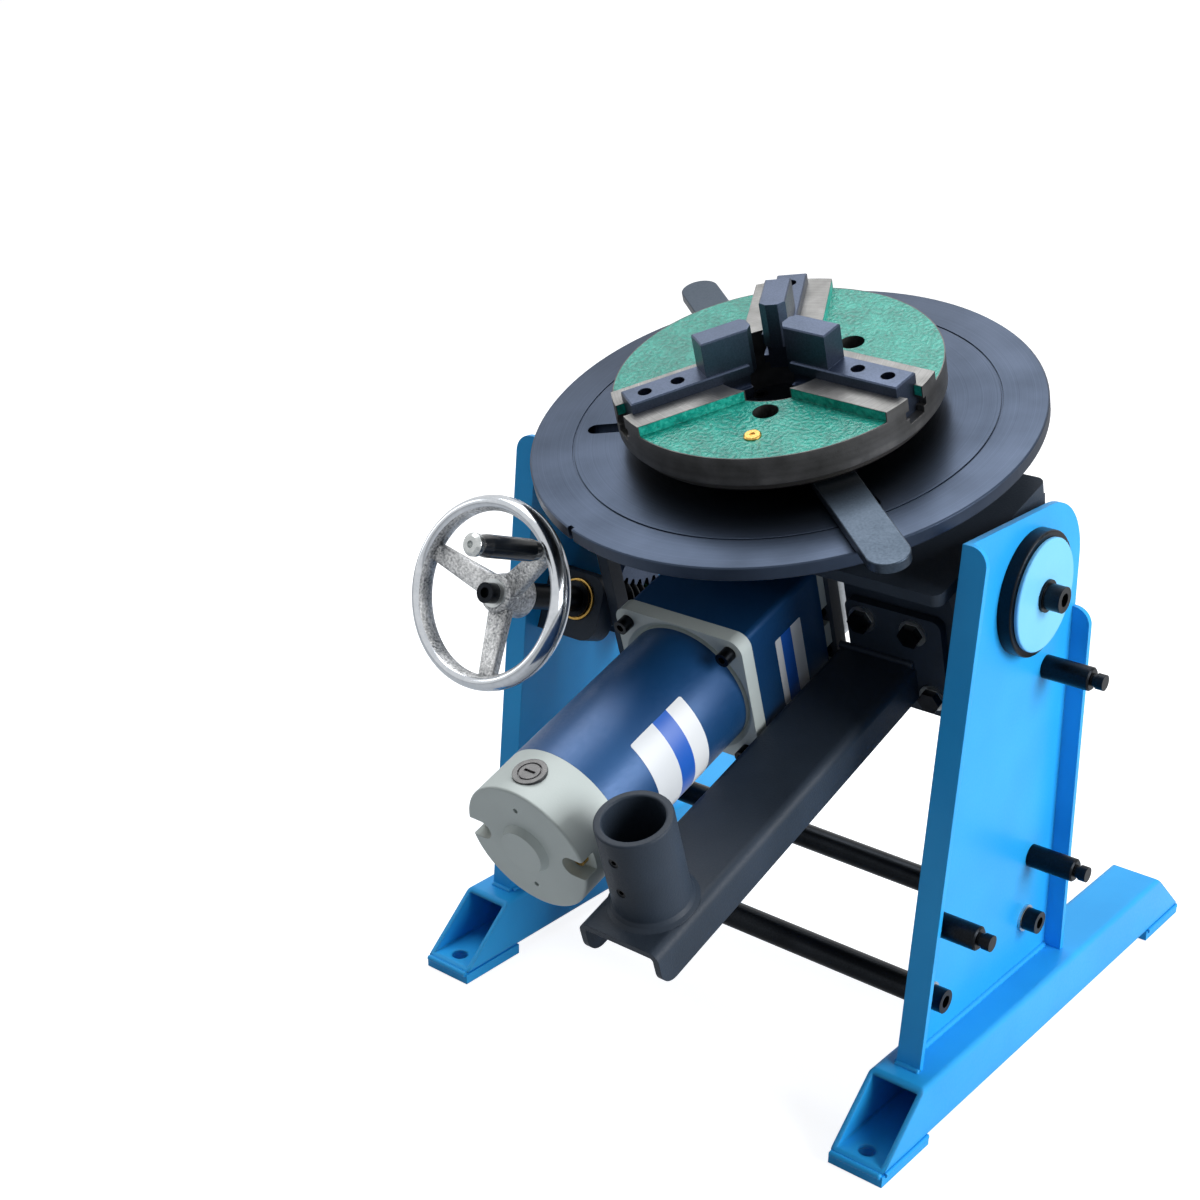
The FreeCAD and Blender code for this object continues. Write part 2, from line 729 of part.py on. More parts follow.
def worm_shaft():
    """Shaft with the worm between its two bearings and a seat for the handwheel."""
    module = WORM_MODULE
    root = WORM_PITCH_R - DEDENDUM * module
    crest = WORM_PITCH_R + module
    turns_span = 2 * (WORM_HALF - WORM_RUNOUT)
    helix = Part.makeHelix(WORM_LEAD, turns_span, WORM_PITCH_R)
    low = rack_half(-DEDENDUM * module - 1, WORM_LEAD, WORM_SLACK)
    high = rack_half(module, WORM_LEAD, WORM_SLACK)
    profile = Part.makePolygon([V(root - 1, 0, -low), V(crest, 0, -high),
                                V(crest, 0, high), V(root - 1, 0, low), V(root - 1, 0, -low)])
    thread = Part.Wire(helix).makePipeShell([profile], True, True)
    thread = Part.Solid(thread) if thread.ShapeType != "Solid" else thread
    thread.translate(Z * (-turns_span / 2))
    # a thread crest lies at the middle of the worm on the side of the pivot
    turns = turns_span / 2 / WORM_LEAD
    thread.rotate(V(0, 0, 0), Z, -360 * turns)
    core = rod(root, 2 * WORM_HALF, V(0, 0, -WORM_HALF), Z)
    worm = core.fuse(thread)
    # the axis is laid along -y with the crest side upwards
    worm.rotate(V(0, 0, 0), X, 90)
    worm.rotate(V(0, 0, 0), Y, -90)
    front = WHEEL_AT - HUB_FRONT - HUB_SEAT
    shaft = rod(WORM_SHAFT_R, front + BLOCK_NEAR + BLOCK_T + WORM_TAIL, V(0, -front, 0), Y)
    shaft = shaft.cut(rod(M8_R, WORM_TAP, V(0, -front, 0), Y))
    inside = WORM_SHAFT_R - WORM_COLLAR
    collars = [ring(WORM_SHAFT_R + WORM_COLLAR, inside, BLOCK_NEAR - WORM_HALF - GAP,
                    V(0, side * WORM_HALF, 0), Y * side) for side in (-1, 1)]
    collars += [ring(OUTER_COLLAR_R, inside, WORM_TAIL - GAP,
                     V(0, side * (BLOCK_NEAR + BLOCK_T + GAP), 0), Y * side) for side in (-1, 1)]
    return fused([worm, shaft] + collars)


def toothed_outline(turn, x):
    """Outline of the sector at one side face, teeth included."""
    module = WORM_MODULE
    pitch_angle = 360.0 / SECTOR_TEETH
    contact = 180 - WORM_RISE - REST_LEAN
    root_r = SECTOR_R - DEDENDUM * module
    tip_r = SECTOR_R + module
    points = []

    def at(radius, angle):
        a = math.radians(angle)
        return V(x, -radius * math.sin(a), radius * math.cos(a))

    count = int((TILT_RANGE + 2 * SECTOR_SPARE) / pitch_angle)
    start = contact + turn + pitch_angle / 2 - 2 * pitch_angle
    points.append(at(root_r, start - 0.5 * pitch_angle))
    for k in range(count):
        middle = start + k * pitch_angle
        for radius, side in ((root_r, -1), (SECTOR_R, -1), (tip_r, -1),
                             (tip_r, 1), (SECTOR_R, 1), (root_r, 1)):
            half = WORM_LEAD / 4 - WORM_SLACK / 2
            half -= (radius - SECTOR_R) * math.tan(math.radians(PRESSURE))
            points.append(at(radius, middle + side * math.degrees(half / radius)))
    points.append(at(root_r, start + (count - 0.5) * pitch_angle))
    points.append(at(SECTOR_INNER_R, start + (count - 0.5) * pitch_angle))
    middle = start + (count - 1) * pitch_angle / 2
    points.append(at(SECTOR_INNER_R, middle))
    points.append(at(SECTOR_INNER_R, start - 0.5 * pitch_angle))
    return Part.makePolygon(points + [points[0]])


def worm_sector():
    """Worm wheel sector screwed to the inside of the left cheek."""
    lead_angle = math.degrees(math.atan(WORM_LEAD / (2 * math.pi * WORM_PITCH_R)))
    skew = math.degrees(SECTOR_W / 2 * math.tan(math.radians(lead_angle)) / SECTOR_R)
    x0 = WORM_X - SECTOR_W / 2
    x1 = WORM_X + SECTOR_W / 2
    plate = Part.makeLoft([toothed_outline(TOOTH_SKEW * skew, x0),
                           toothed_outline(-TOOTH_SKEW * skew, x1)], True, True)
    hub_start = -CRADLE_X + CHEEK_T
    hub = rod(SECTOR_HUB_R, SECTOR_DEPTH, V(hub_start, 0, 0), X)
    sector = fused([plate, hub]).cut(rod(PIN_R, SECTOR_DEPTH + 2, V(hub_start - 1, 0, 0), X))
    return drilled(sector, sector_screw_places(), M6_R, SECTOR_DEPTH, X * -1)


def sector_screw_places():
    """Centres of the sector's screws on the inner face of its hub."""
    return [V(WORM_X + SECTOR_W / 2, SECTOR_SCREW_R * math.cos(a), SECTOR_SCREW_R * math.sin(a))
            for a in (math.radians(90 + 120 * k) for k in range(3))]


def sector_screws():
    """M6 screws that hold the sector to the cheek."""
    return [cap_screw(M6_R, M6_HEAD_R, M6_HEAD_H, SECTOR_DEPTH + CHEEK_T, at, X)
            for at in sector_screw_places()]


# ---------------------------------------------------------------- bearings and spindle
def bearing_housing():
    """Flanged housing under the table, with a seat for a ball bearing at each end."""
    shoulder = DECK_TOP + HOUSING_FLANGE_T
    low_seat = HOUSING_LOW + BEARING_W
    high_seat = HOUSING_TOP - BEARING_SINK - BEARING_W
    neck = SEAT_R - SEAT_LIP
    housing = turned([(SEAT_R, HOUSING_LOW), (HOUSING_R, HOUSING_LOW), (HOUSING_R, DECK_TOP),
                      (HOUSING_FLANGE_R, DECK_TOP), (HOUSING_FLANGE_R, shoulder),
                      (HOUSING_R + HOUSING_FILLET, shoulder), (HOUSING_R, HOUSING_TOP),
                      (SEAT_R, HOUSING_TOP), (SEAT_R, high_seat), (neck, high_seat),
                      (neck, low_seat), (SEAT_R, low_seat)])
    places = circle_places(6, HOUSING_SCREW_R, shoulder)
    return drilled(housing, places, M6_R, HOUSING_FLANGE_T, Z * -1)


def housing_screws():
    """Screws through the housing flange into the deck."""
    shoulder = DECK_TOP + HOUSING_FLANGE_T
    return [cap_screw(M6_R, M6_HEAD_R, M6_HEAD_H, HOUSING_FLANGE_T + DECK_T, at, Z)
            for at in circle_places(6, HOUSING_SCREW_R, shoulder)]


def bearing_rings(inner_side):
    """The rings of the two ball bearings, inner or outer."""
    found = []
    mid = (SHAFT_R + SEAT_R) / 2
    for low in (HOUSING_LOW, HOUSING_TOP - BEARING_SINK - BEARING_W):
        if inner_side:
            found.append(ring(mid - RING_LAND, SHAFT_R, BEARING_W, V(0, 0, low), Z))
        else:
            found.append(ring(SEAT_R, mid + RING_LAND, BEARING_W, V(0, 0, low), Z))
    return found


def spindle():
    """Flanged spindle that carries the table; its lower end carries the bevel gear."""
    nut_seat = gear_low()
    end = nut_seat - NUT_H - 1
    body = turned([(0, end), (STUB_R, end), (STUB_R, nut_seat),
                   (JOURNAL_R, nut_seat), (JOURNAL_R, GEAR_TOP),
                   (SHAFT_R, GEAR_TOP), (SHAFT_R, HOUSING_TOP - BEARING_SINK),
                   (SHAFT_R + SPINDLE_COLLAR, HOUSING_TOP - BEARING_SINK),
                   (SHAFT_R + SPINDLE_COLLAR, TABLE_LOW - SPINDLE_FLANGE_T - SPINDLE_FILLET),
                   (SPINDLE_FLANGE_R, TABLE_LOW - SPINDLE_FLANGE_T),
                   (SPINDLE_FLANGE_R, TABLE_LOW), (0, TABLE_LOW)])
    places = circle_places(6, TABLE_SCREW_R, TABLE_LOW)
    return drilled(body, places, M6_R, SPINDLE_FLANGE_T, Z * -1)


def spindle_fasteners():
    """Sunk screws between table and spindle, and the nut that holds the bevel gear."""
    found = [cap_screw(M6_R, M6_HEAD_R, M6_HEAD_H, TABLE_T - M6_HEAD_H + SPINDLE_FLANGE_T, at, Z)
             for at in circle_places(6, TABLE_SCREW_R, TOP - M6_HEAD_H)]
    nut = hex_prism(NUT_FLATS, NUT_H, V(0, 0, gear_low() - NUT_H), Z)
    return found + [nut.cut(rod(STUB_R, 2 * NUT_H, V(0, 0, gear_low() - 1.5 * NUT_H), Z))]


# ---------------------------------------------------------------- bevel gears
CONE = 0.5 * BEVEL_MODULE * math.hypot(GEAR_TEETH, PINION_TEETH)


def bevel_profile(teeth, half_angle, level):
    """Half thickness of a bevel tooth on its back cone, at a height over the pitch line."""
    pitch_r = BEVEL_MODULE * teeth / 2 / math.cos(half_angle)
    pressure = math.radians(PRESSURE)
    radius = max(pitch_r + level, pitch_r * math.cos(pressure) + 0.01)
    local = math.acos(pitch_r * math.cos(pressure) / radius)
    width = math.pi * BEVEL_MODULE / 2 - BEVEL_SLACK
    half = width / (2 * pitch_r) + (math.tan(pressure) - pressure) - (math.tan(local) - local)
    return (pitch_r + level) * half


def bevel_gear(teeth, half_angle, first, back):
    """Straight bevel gear, apex at the origin, opening along +z; back closes its outline."""
    root = DEDENDUM * BEVEL_MODULE
    share = (CONE - BEVEL_FACE) / CONE
    sine = math.sin(half_angle)
    cosine = math.cos(half_angle)

    def at(level, along):
        return ((CONE * sine + level * cosine) * along, (CONE * cosine - level * sine) * along)

    def outline(height):
        """All teeth cut by a plane across the axis; every edge runs to the apex."""
        points = []
        for k in range(teeth):
            middle = math.radians(first + 360.0 / teeth * k)
            for level, side in ((-root, -1), (0, -1), (BEVEL_MODULE, -1),
                                (BEVEL_MODULE, 1), (0, 1), (-root, 1)):
                r, h = at(level, 1)
                turn = middle + side * bevel_profile(teeth, half_angle, level) / r
                points.append(V(r / h * height * math.cos(turn), r / h * height * math.sin(turn),
                                height))
        return Part.makePolygon(points + [points[0]])

    low = at(BEVEL_MODULE, share)[1] - 1
    high = at(-root, 1)[1] + 1
    toothed = Part.makeLoft([outline(low), outline(high)], True, True)
    blank = turned([at(BEVEL_MODULE, share), at(BEVEL_MODULE, 1)] + back)
    sunk = root + 0.6
    core = turned([at(-sunk, share), at(-sunk, 1)] + back)
    return fused([toothed.common(blank), core])


def gear_low():
    """Height of the bevel gear's lower face."""
    half_angle = math.atan(GEAR_TEETH / PINION_TEETH)
    share = (CONE - BEVEL_FACE) / CONE
    return MOTOR_Z + (CONE * math.cos(half_angle)
                      + DEDENDUM * BEVEL_MODULE * math.sin(half_angle)) * share


def table_gear():
    """Bevel gear on the spindle, teeth down."""
    half_angle = math.atan(GEAR_TEETH / PINION_TEETH)
    low = gear_low() - MOTOR_Z
    top = GEAR_TOP - MOTOR_Z
    rim = BEVEL_MODULE * GEAR_TEETH / 2 - GEAR_RIM_IN
    back = [(rim, top - GEAR_RIM_BACK), (GEAR_HUB_R, top - GEAR_HUB_L), (GEAR_HUB_R, top),
            (JOURNAL_R, top), (JOURNAL_R, low)]
    gear = bevel_gear(GEAR_TEETH, half_angle, -90 + 180.0 / GEAR_TEETH, back)
    return moved(gear, Z * MOTOR_Z)


def output_pinion():
    """Bevel pinion on the gearmotor's output shaft."""
    half_angle = math.atan(PINION_TEETH / GEAR_TEETH)
    share = (CONE - BEVEL_FACE) / CONE
    start = CONE * math.cos(half_angle)
    low = (start + DEDENDUM * BEVEL_MODULE * math.sin(half_angle)) * share
    back = [(PINION_HUB_R, start + PINION_HUB_L), (PINION_NECK_R, MOUNT_REAR + PINION_REACH),
            (0, MOUNT_REAR + PINION_REACH), (0, low)]
    pinion = bevel_gear(PINION_TEETH, half_angle, 90, back)
    shaft = rod(OUTPUT_R, BOX_REAR - 1 - start, V(0, 0, start), Z)
    pinion = fused([pinion, shaft])
    pinion = turned_about(pinion, V(0, 0, 0), X, 90)
    return moved(pinion, Z * MOTOR_Z)


# ---------------------------------------------------------------- gearmotor
def gear_plate(rear, thickness, low, corner):
    """Plate across the cradle, hung from the deck and hollowed round the gears."""
    plate = box(-PLATE_HALF, PLATE_HALF, -rear - thickness, -rear, low, DECK_LOW)
    plate = round_edges(plate, corner, lambda e: runs_along(e, Y) and e.CenterOfMass.z < low + 1)
    hollow = rod(GEAR_ROOM, DECK_LOW - MOTOR_Z, V(0, 0, MOTOR_Z), Z)
    well = rod(PINION_ROOM, thickness, V(0, -rear, MOTOR_Z), Y * -1)
    return plate.cut(hollow).cut(well)


def square_bar(width, corner, start, length):
    """Square length of the gearmotor with rounded edges, laid forwards."""
    half = width / 2
    bar = box(-half, half, -start - length, -start, MOTOR_Z - half, MOTOR_Z + half)
    return round_edges(bar, corner, lambda e: runs_along(e, Y))


def motor_rod(radius, start, length):
    return rod(radius, length, V(0, -start, MOTOR_Z), Y * -1)


def gearbox_strip():
    """Cast end of the gearbox with a notch at each fixing screw."""
    strip = square_bar(BOX_W, STRIP_ROUND, STRIP_REAR, STRIP_T)
    strip = strip.cut(motor_rod(OUTPUT_R + 1, STRIP_REAR, STRIP_T))
    for x, z in screw_notches():
        strip = strip.cut(rod(NOTCH_R, STRIP_T, V(x, -STRIP_REAR, z), Y * -1))
        strip = strip.cut(box(min(x, x * 2), max(x, x * 2), -STRIP_REAR - STRIP_T, -STRIP_REAR,
                              z - NOTCH_R, z + NOTCH_R))
    return strip


def screw_notches():
    return [(side * (BOX_W / 2 - NOTCH_IN), MOTOR_Z + rise)
            for side in (-1, 1) for rise in NOTCH_RISES]


def gearbox():
    """Closed gearbox body, tapped for the motor flange."""
    body = square_bar(BOX_W, BOX_ROUND, BOX_REAR, BOX_L)
    return drilled(body, corner_places(CAST_REAR), M5_R, CORNER_DEPTH, Y)


def motor_flange():
    """Cast flange between gearbox and motor, hollowed round the barrel."""
    flange = square_bar(CAST_W, CAST_ROUND, CAST_REAR, CAST_T)
    dish = turned([(BARREL_R, 0), (BARREL_R + DISH_W, 0), (BARREL_R, DISH_D)],
                  V(0, -CAST_REAR - CAST_T, MOTOR_Z), Y)
    return drilled(flange.cut(dish), corner_places(BARREL_REAR), M5_R, CAST_T, Y)


def corner_places(forward):
    """Corners of the motor flange's screw square, at a distance in front of the spindle."""
    return [V(x, -forward, MOTOR_Z + z) for x in (-CORNER_SCREW, CORNER_SCREW)
            for z in (-CORNER_SCREW, CORNER_SCREW)]


def notch_places():
    return [V(x, -STRIP_REAR, z) for x, z in screw_notches()]


def motor_screws():
    """Socket screws of the motor flange and of the gearbox's fixing notches."""
    corners = [cap_screw(M5_R, M5_HEAD_R, CORNER_HEAD_H, CAST_T + CORNER_DEPTH, at, Y * -1)
               for at in corner_places(BARREL_REAR)]
    return corners + [cap_screw(M5_R, M5_HEAD_R, M5_HEAD_H, MOUNT_T, at, Y * -1)
                      for at in notch_places()]


def mount_plate():
    """Plate that carries the gearbox, tapped behind each notch."""
    plate = gear_plate(MOUNT_REAR, MOUNT_T, PLATE_LOW, MOUNT_ROUND)
    return drilled(plate, notch_places(), M5_R, MOUNT_T, Y)


def motor_barrel():
    return motor_rod(BARREL_R, BARREL_REAR, BARREL_L)


def motor_end():
    """Die-cast end cap with a rounded front, a boss, two notches and two brush bosses."""
    cap = turned([(0, 0), (BARREL_R, 0), (BARREL_R, END_L), (BOSS_R + BOSS_FLARE, END_L),
                  (BOSS_R, END_L + BOSS_L), (0, END_L + BOSS_L)], V(0, -END_REAR, MOTOR_Z), Y * -1)
    cap = round_edges(cap, END_ROUND, lambda e: abs(e.CenterOfMass.y + END_FACE) < 0.01
                      and e.Length > 2 * math.pi * BARREL_R - 1)
    for side in (-1, 1):
        x = side * BOLT_AT
        mouth = x + side * BARREL_R
        seat = -END_REAR - BOLT_SEAT
        notch = rod(BOLT_NOTCH_R, END_L, V(x, seat, MOTOR_Z), Y * -1)
        notch = notch.fuse(box(min(x, mouth), max(x, mouth), seat - END_L, seat,
                               MOTOR_Z - BOLT_NOTCH_R, MOTOR_Z + BOLT_NOTCH_R))
        cap = cap.cut(notch)
        cap = cap.cut(rod(BRUSH_R, BRUSH_DEPTH + 1, brush_place(side, BARREL_R + 1), Z * -side))
        cap = cap.cut(rod(END_HOLE_R, END_HOLE_D, V(0, -END_FACE, MOTOR_Z + side * END_HOLE_AT), Y))
    return cap


def brush_place(side, height):
    """Point on the axis of a brush, above or below the motor's axis."""
    return V(0, -END_REAR - END_L / 2, MOTOR_Z + side * height)


def brush_caps():
    """Slotted caps over the two motor brushes."""
    found = []
    for side in (-1, 1):
        cap = rod(BRUSH_R, BRUSH_DEPTH + BRUSH_RISE, brush_place(side, BARREL_R - BRUSH_DEPTH),
                  Z * side)
        top = brush_place(side, BARREL_R + BRUSH_RISE)
        slot = box(-BRUSH_SLOT_L / 2, BRUSH_SLOT_L / 2, top.y - BRUSH_SLOT_W / 2,
                   top.y + BRUSH_SLOT_W / 2, top.z - BRUSH_SLOT_D, top.z + BRUSH_SLOT_D)
        circle = ring(BRUSH_RING_R + BRUSH_RING_W, BRUSH_RING_R, BRUSH_SLOT_D, top, Z * -side)
        found.append(cap.cut(slot).cut(circle))
    return found


def through_bolts():
    """Heads of the long bolts that clamp the motor, at the bottom of the notches."""
    return [rod(THROUGH_HEAD_R, THROUGH_HEAD_H, V(side * BOLT_AT, -END_REAR - BOLT_SEAT, MOTOR_Z),
                Y * -1) for side in (-1, 1)]


# ---------------------------------------------------------------- torch arm
def arm_hanger():
    """Plate under the deck that the torch arm is bolted to, beside the gearbox."""
    rear = END_PLATE_FRONT - END_PLATE_T - HANGER_T
    plate = box(HANGER_X[0], HANGER_X[1], -rear - HANGER_T, -rear, HANGER_LOW, DECK_LOW)
    plate = round_edges(plate, CORNER_ROUND, lambda e: runs_along(e, Y)
                        and e.CenterOfMass.z < HANGER_LOW + 1)
    return drilled(plate, arm_bolt_places(), M8_R, END_PLATE_T + HANGER_T, Y)


def arm_bolt_places():
    return [V(x, -END_PLATE_FRONT, z) for x, z in ARM_BOLTS]


def arm_fasteners():
    """Washers and M8 hexagon bolts between the torch arm and its hanger."""
    found = []
    for at in arm_bolt_places():
        found.append(ring(M8_WASHER_R, M8_R, WASHER_T, at, Y * -1))
        found.append(hex_bolt(M8_R, BOLT_FLATS, BOLT_HEAD_H, WASHER_T + END_PLATE_T + HANGER_T,
                              at + Y * -WASHER_T, Y * -1))
    return found


def torch_arm():
    """Welded arm: end plate, C-channel with rounded bends, and an upright socket tube."""
    end = box(END_PLATE_X[0], END_PLATE_X[1], -END_PLATE_FRONT, -END_PLATE_FRONT + END_PLATE_T,
              END_PLATE_Z[0], END_PLATE_Z[1])
    end = round_edges(end, CORNER_ROUND, lambda e: runs_along(e, Y))
    half = ARM_W / 2
    low = ARM_TOP - ARM_DEPTH
    outer = box(ARM_X - half, ARM_X + half, -ARM_END, -END_PLATE_FRONT, low, ARM_TOP)
    outer = round_edges(outer, ARM_BEND, lambda e: runs_along(e, Y)
                        and e.CenterOfMass.z > ARM_TOP - 1)
    inner = box(ARM_X - half + ARM_T, ARM_X + half - ARM_T, -ARM_END - 1, -END_PLATE_FRONT,
                low - 1, ARM_TOP - ARM_T)
    inner = round_edges(inner, ARM_BEND - ARM_T, lambda e: runs_along(e, Y)
                        and e.CenterOfMass.z > ARM_TOP - ARM_T - 1)
    channel = outer.cut(inner)
    channel = round_edges(channel, ARM_EAR_ROUND, lambda e: runs_along(e, X) and e.Length < ARM_T + 0.1
                          and e.CenterOfMass.z < low + 0.1 and e.CenterOfMass.y < -ARM_END + 0.1)
    socket = ring(SOCKET_R, SOCKET_BORE, SOCKET_L, V(ARM_X, -SOCKET_AT, ARM_TOP), Z)
    socket = round_edges(socket, SOCKET_EDGE, lambda e: e.CenterOfMass.z > ARM_TOP + SOCKET_L - 0.1)
    weld = turned([(SOCKET_R - 1, 0), (SOCKET_R + SOCKET_WELD, 0),
                   (SOCKET_R + SOCKET_WELD * 0.4, SOCKET_WELD * 0.4), (SOCKET_R, SOCKET_WELD),
                   (SOCKET_R - 1, SOCKET_WELD)], V(ARM_X, -SOCKET_AT, ARM_TOP))
    arm = fused([end, channel, socket, weld])
    screws = [V(ARM_X, -SOCKET_AT, ARM_TOP + z) for z in SOCKET_SCREW_Z]
    arm = drilled(arm, screws, M6_R, SOCKET_R, Y * -1)
    return drilled(arm, arm_bolt_places(), M8_R, END_PLATE_T, Y)


def set_screws():
    """Grub screws that clamp a post in the socket."""
    found = []
    length = SOCKET_R - SOCKET_BORE - 2 * GRUB_SINK
    for z in SOCKET_SCREW_Z:
        at = V(ARM_X, -SOCKET_AT - SOCKET_BORE - GRUB_SINK, ARM_TOP + z)
        grub = rod(M6_R, length, at, Y * -1)
        socket = rod(GRUB_KEY_R, GRUB_KEY_D, at + Y * -length, Y)
        found.append(grub.cut(socket))
    return found


def guard_bar():
    """Flat bar hung from the deck between the worm drive and the motor."""
    bar = box(GUARD_X[0], GUARD_X[1], -DECK_FRONT, -DECK_FRONT + GUARD_W, GUARD_LOW, DECK_LOW)
    return round_edges(bar, GUARD_ROUND, lambda e: runs_along(e, X)
                       and e.CenterOfMass.z < GUARD_LOW + 1)


# ---------------------------------------------------------------- turntable
def turntable():
    """Round table with a turned pitch line and three radial bolt slots."""
    plate = rod(TABLE_R, TABLE_T, V(0, 0, TABLE_LOW), Z)
    plate = plate.makeChamfer(TABLE_EDGE, [e for e in plate.Edges
                                           if e.Length > 2 * math.pi * TABLE_R - 1])
    plate = plate.cut(ring(GROOVE_R + GROOVE_W / 2, GROOVE_R - GROOVE_W / 2, GROOVE_D,
                           V(0, 0, TOP - GROOVE_D), Z))
    half = SLOT_W / 2
    slot = box(SLOT_IN, SLOT_OUT - half, -half, half, TABLE_LOW, TOP)
    for x in (SLOT_IN, SLOT_OUT - half):
        slot = slot.fuse(rod(half, TABLE_T, V(x, 0, TABLE_LOW), Z))
    for k in range(3):
        plate = plate.cut(turned_about(slot, V(0, 0, 0), Z, -SLOT_TURN - 120 * k))
    plate = drilled(plate, circle_places(6, TABLE_SCREW_R, TABLE_LOW), M6_R, TABLE_T, Z)
    plate = drilled(plate, circle_places(6, TABLE_SCREW_R, TOP), M6_HEAD_R, M6_HEAD_H, Z * -1)
    plate = drilled(plate, chuck_hole_places(TABLE_LOW), M8_R, TABLE_T, Z)
    notch = box(TABLE_R - RIM_NOTCH_D, TABLE_R + 1, -RIM_NOTCH_W / 2, RIM_NOTCH_W / 2,
                TABLE_LOW, TOP)
    return plate.cut(turned_about(notch, V(0, 0, 0), Z, -RIM_NOTCH_TURN))


def chuck_hole_places(height):
    return [V(CHUCK_HOLE_AT * math.cos(a), -CHUCK_HOLE_AT * math.sin(a), height)
            for a in (math.radians(CHUCK_TURN + 60 + 120 * k) for k in range(3))]


# ---------------------------------------------------------------- chuck
def jaw_slot(low, high, width, reach):
    return box(0, reach, -width / 2, width / 2, low, high)


def chuck_body():
    """Cast body: flat pockets between three raised rails, T-slots for the jaws."""
    low = TOP + CHUCK_LOW
    seat_top = TOP + SCROLL_FACE + THREAD_H + RUN * 4
    body = rod(CHUCK_R, CHUCK_TOP - CHUCK_LOW, V(0, 0, low), Z)
    body = body.cut(rod(SCROLL_SEAT_R + RUN, seat_top - low, V(0, 0, low), Z))
    hub = rod(CHUCK_HUB_R, CHUCK_TOP, V(0, 0, TOP), Z)
    body = body.fuse(hub)
    rail = box(0, CHUCK_R, -RAIL_HALF, RAIL_HALF, TOP + CHUCK_TOP - 0.5, TOP + RAIL_TOP)
    edge = rod(CHUCK_R, RAIL_TOP, V(0, 0, TOP), Z)
    rail = rail.common(edge)
    wing_low = TOP + JAW_WING_LOW - RUN
    wing_high = TOP + JAW_WING_LOW + JAW_WING_T + RUN
    neck = JAW_NECK + 2 * RUN
    cuts = [jaw_slot(seat_top - 0.01, TOP + RAIL_TOP + 1, neck, CHUCK_R + 1),
            jaw_slot(wing_low, wing_high, JAW_WING + 2 * RUN, CHUCK_R + 1)]
    for k in range(3):
        turn = -CHUCK_TURN - 120 * k
        body = body.fuse(turned_about(rail, V(0, 0, 0), Z, turn))
    for k in range(3):
        turn = -CHUCK_TURN - 120 * k
        for cut in cuts:
            body = body.cut(turned_about(cut, V(0, 0, 0), Z, turn))
    body = body.cut(rod(CHUCK_BORE, RAIL_TOP + 1, V(0, 0, TOP), Z))
    body = drilled(body, chuck_hole_places(TOP), M8_R, CHUCK_TOP, Z)
    body = drilled(body, chuck_hole_places(TOP + CHUCK_SCREW_SEAT), CHUCK_HOLE_R, CHUCK_TOP, Z)
    groove = ring(CHUCK_HUB_R + 1, CHUCK_HUB_R - SNAP_IN, SNAP_T,
                  V(0, 0, TOP + SCROLL_LOW - SNAP_LOW), Z)
    return body.removeSplitter().cut(groove)


def chuck_fasteners():
    """Socket screws in the pockets, and the snap ring that holds the scroll up."""
    found = [cap_screw(M8_R, M8_HEAD_R, M8_HEAD_H, CHUCK_SCREW_SEAT + TABLE_T - 1, at, Z)
             for at in chuck_hole_places(TOP + CHUCK_SCREW_SEAT)]
    snap = ring(CHUCK_HUB_R + SNAP_OUT, CHUCK_HUB_R - SNAP_IN, SNAP_T,
                V(0, 0, TOP + SCROLL_LOW - SNAP_LOW), Z)
    gap = box(-SNAP_MOUTH / 2, SNAP_MOUTH / 2, CHUCK_HUB_R - SNAP_IN - 1,
              CHUCK_HUB_R + SNAP_OUT + 1, TOP, TOP + SCROLL_LOW)
    found.append(snap.cut(gap))
    return found


def grease_nipple():
    """Brass greasing point in the front pocket."""
    a = math.radians(CHUCK_TURN + NIPPLE_TURN)
    at = V(NIPPLE_AT * math.cos(a), -NIPPLE_AT * math.sin(a), TOP + CHUCK_TOP)
    mouth = NIPPLE_R * 0.3
    return turned([(0, 0), (NIPPLE_R, 0), (NIPPLE_R, NIPPLE_H / 2),
                   (NIPPLE_R - NIPPLE_H / 2, NIPPLE_H), (mouth, NIPPLE_H), (mouth, NIPPLE_H / 2),
                   (0, NIPPLE_H / 2)], at)


def spiral_point(angle, offset, height):
    """Point of the scroll's thread; the radius grows with the angle."""
    radius = SCROLL_START + SCROLL_PITCH * angle / 360.0 + offset
    a = math.radians(angle)
    return V(radius * math.cos(a), radius * math.sin(a), height)


def scroll_plate():
    """Scroll ring: plain lower disc, and a flat spiral thread on its upper face."""
    low = TOP + SCROLL_LOW
    face = TOP + SCROLL_FACE
    step = TOP + CHUCK_LOW - GAP
    bore = CHUCK_HUB_R + RUN
    disc = turned([(bore, low), (SCROLL_R - SCROLL_EDGE, low), (SCROLL_R, low + SCROLL_EDGE),
                   (SCROLL_R, step), (SCROLL_SEAT_R, step), (SCROLL_SEAT_R, face), (bore, face)])
    last = 360.0 * SCROLL_TURNS
    samples = int(SCROLL_TURNS * 12) + 1
    angles = [last * k / (samples - 1) for k in range(samples)]
    inner = Part.BSplineCurve()
    inner.interpolate([spiral_point(a, -SCROLL_RIB / 2, face - 0.5) for a in angles])
    outer = Part.BSplineCurve()
    outer.interpolate([spiral_point(a, SCROLL_RIB / 2, face - 0.5) for a in angles])
    ends = [Part.makeLine(spiral_point(a, -SCROLL_RIB / 2, face - 0.5),
                          spiral_point(a, SCROLL_RIB / 2, face - 0.5)) for a in (0, last)]
    outline = Part.Wire([inner.toShape(), ends[1], outer.toShape(), ends[0]])
    thread = Part.Face(outline).extrude(Z * (THREAD_H + 0.5))
    return disc.fuse(thread)


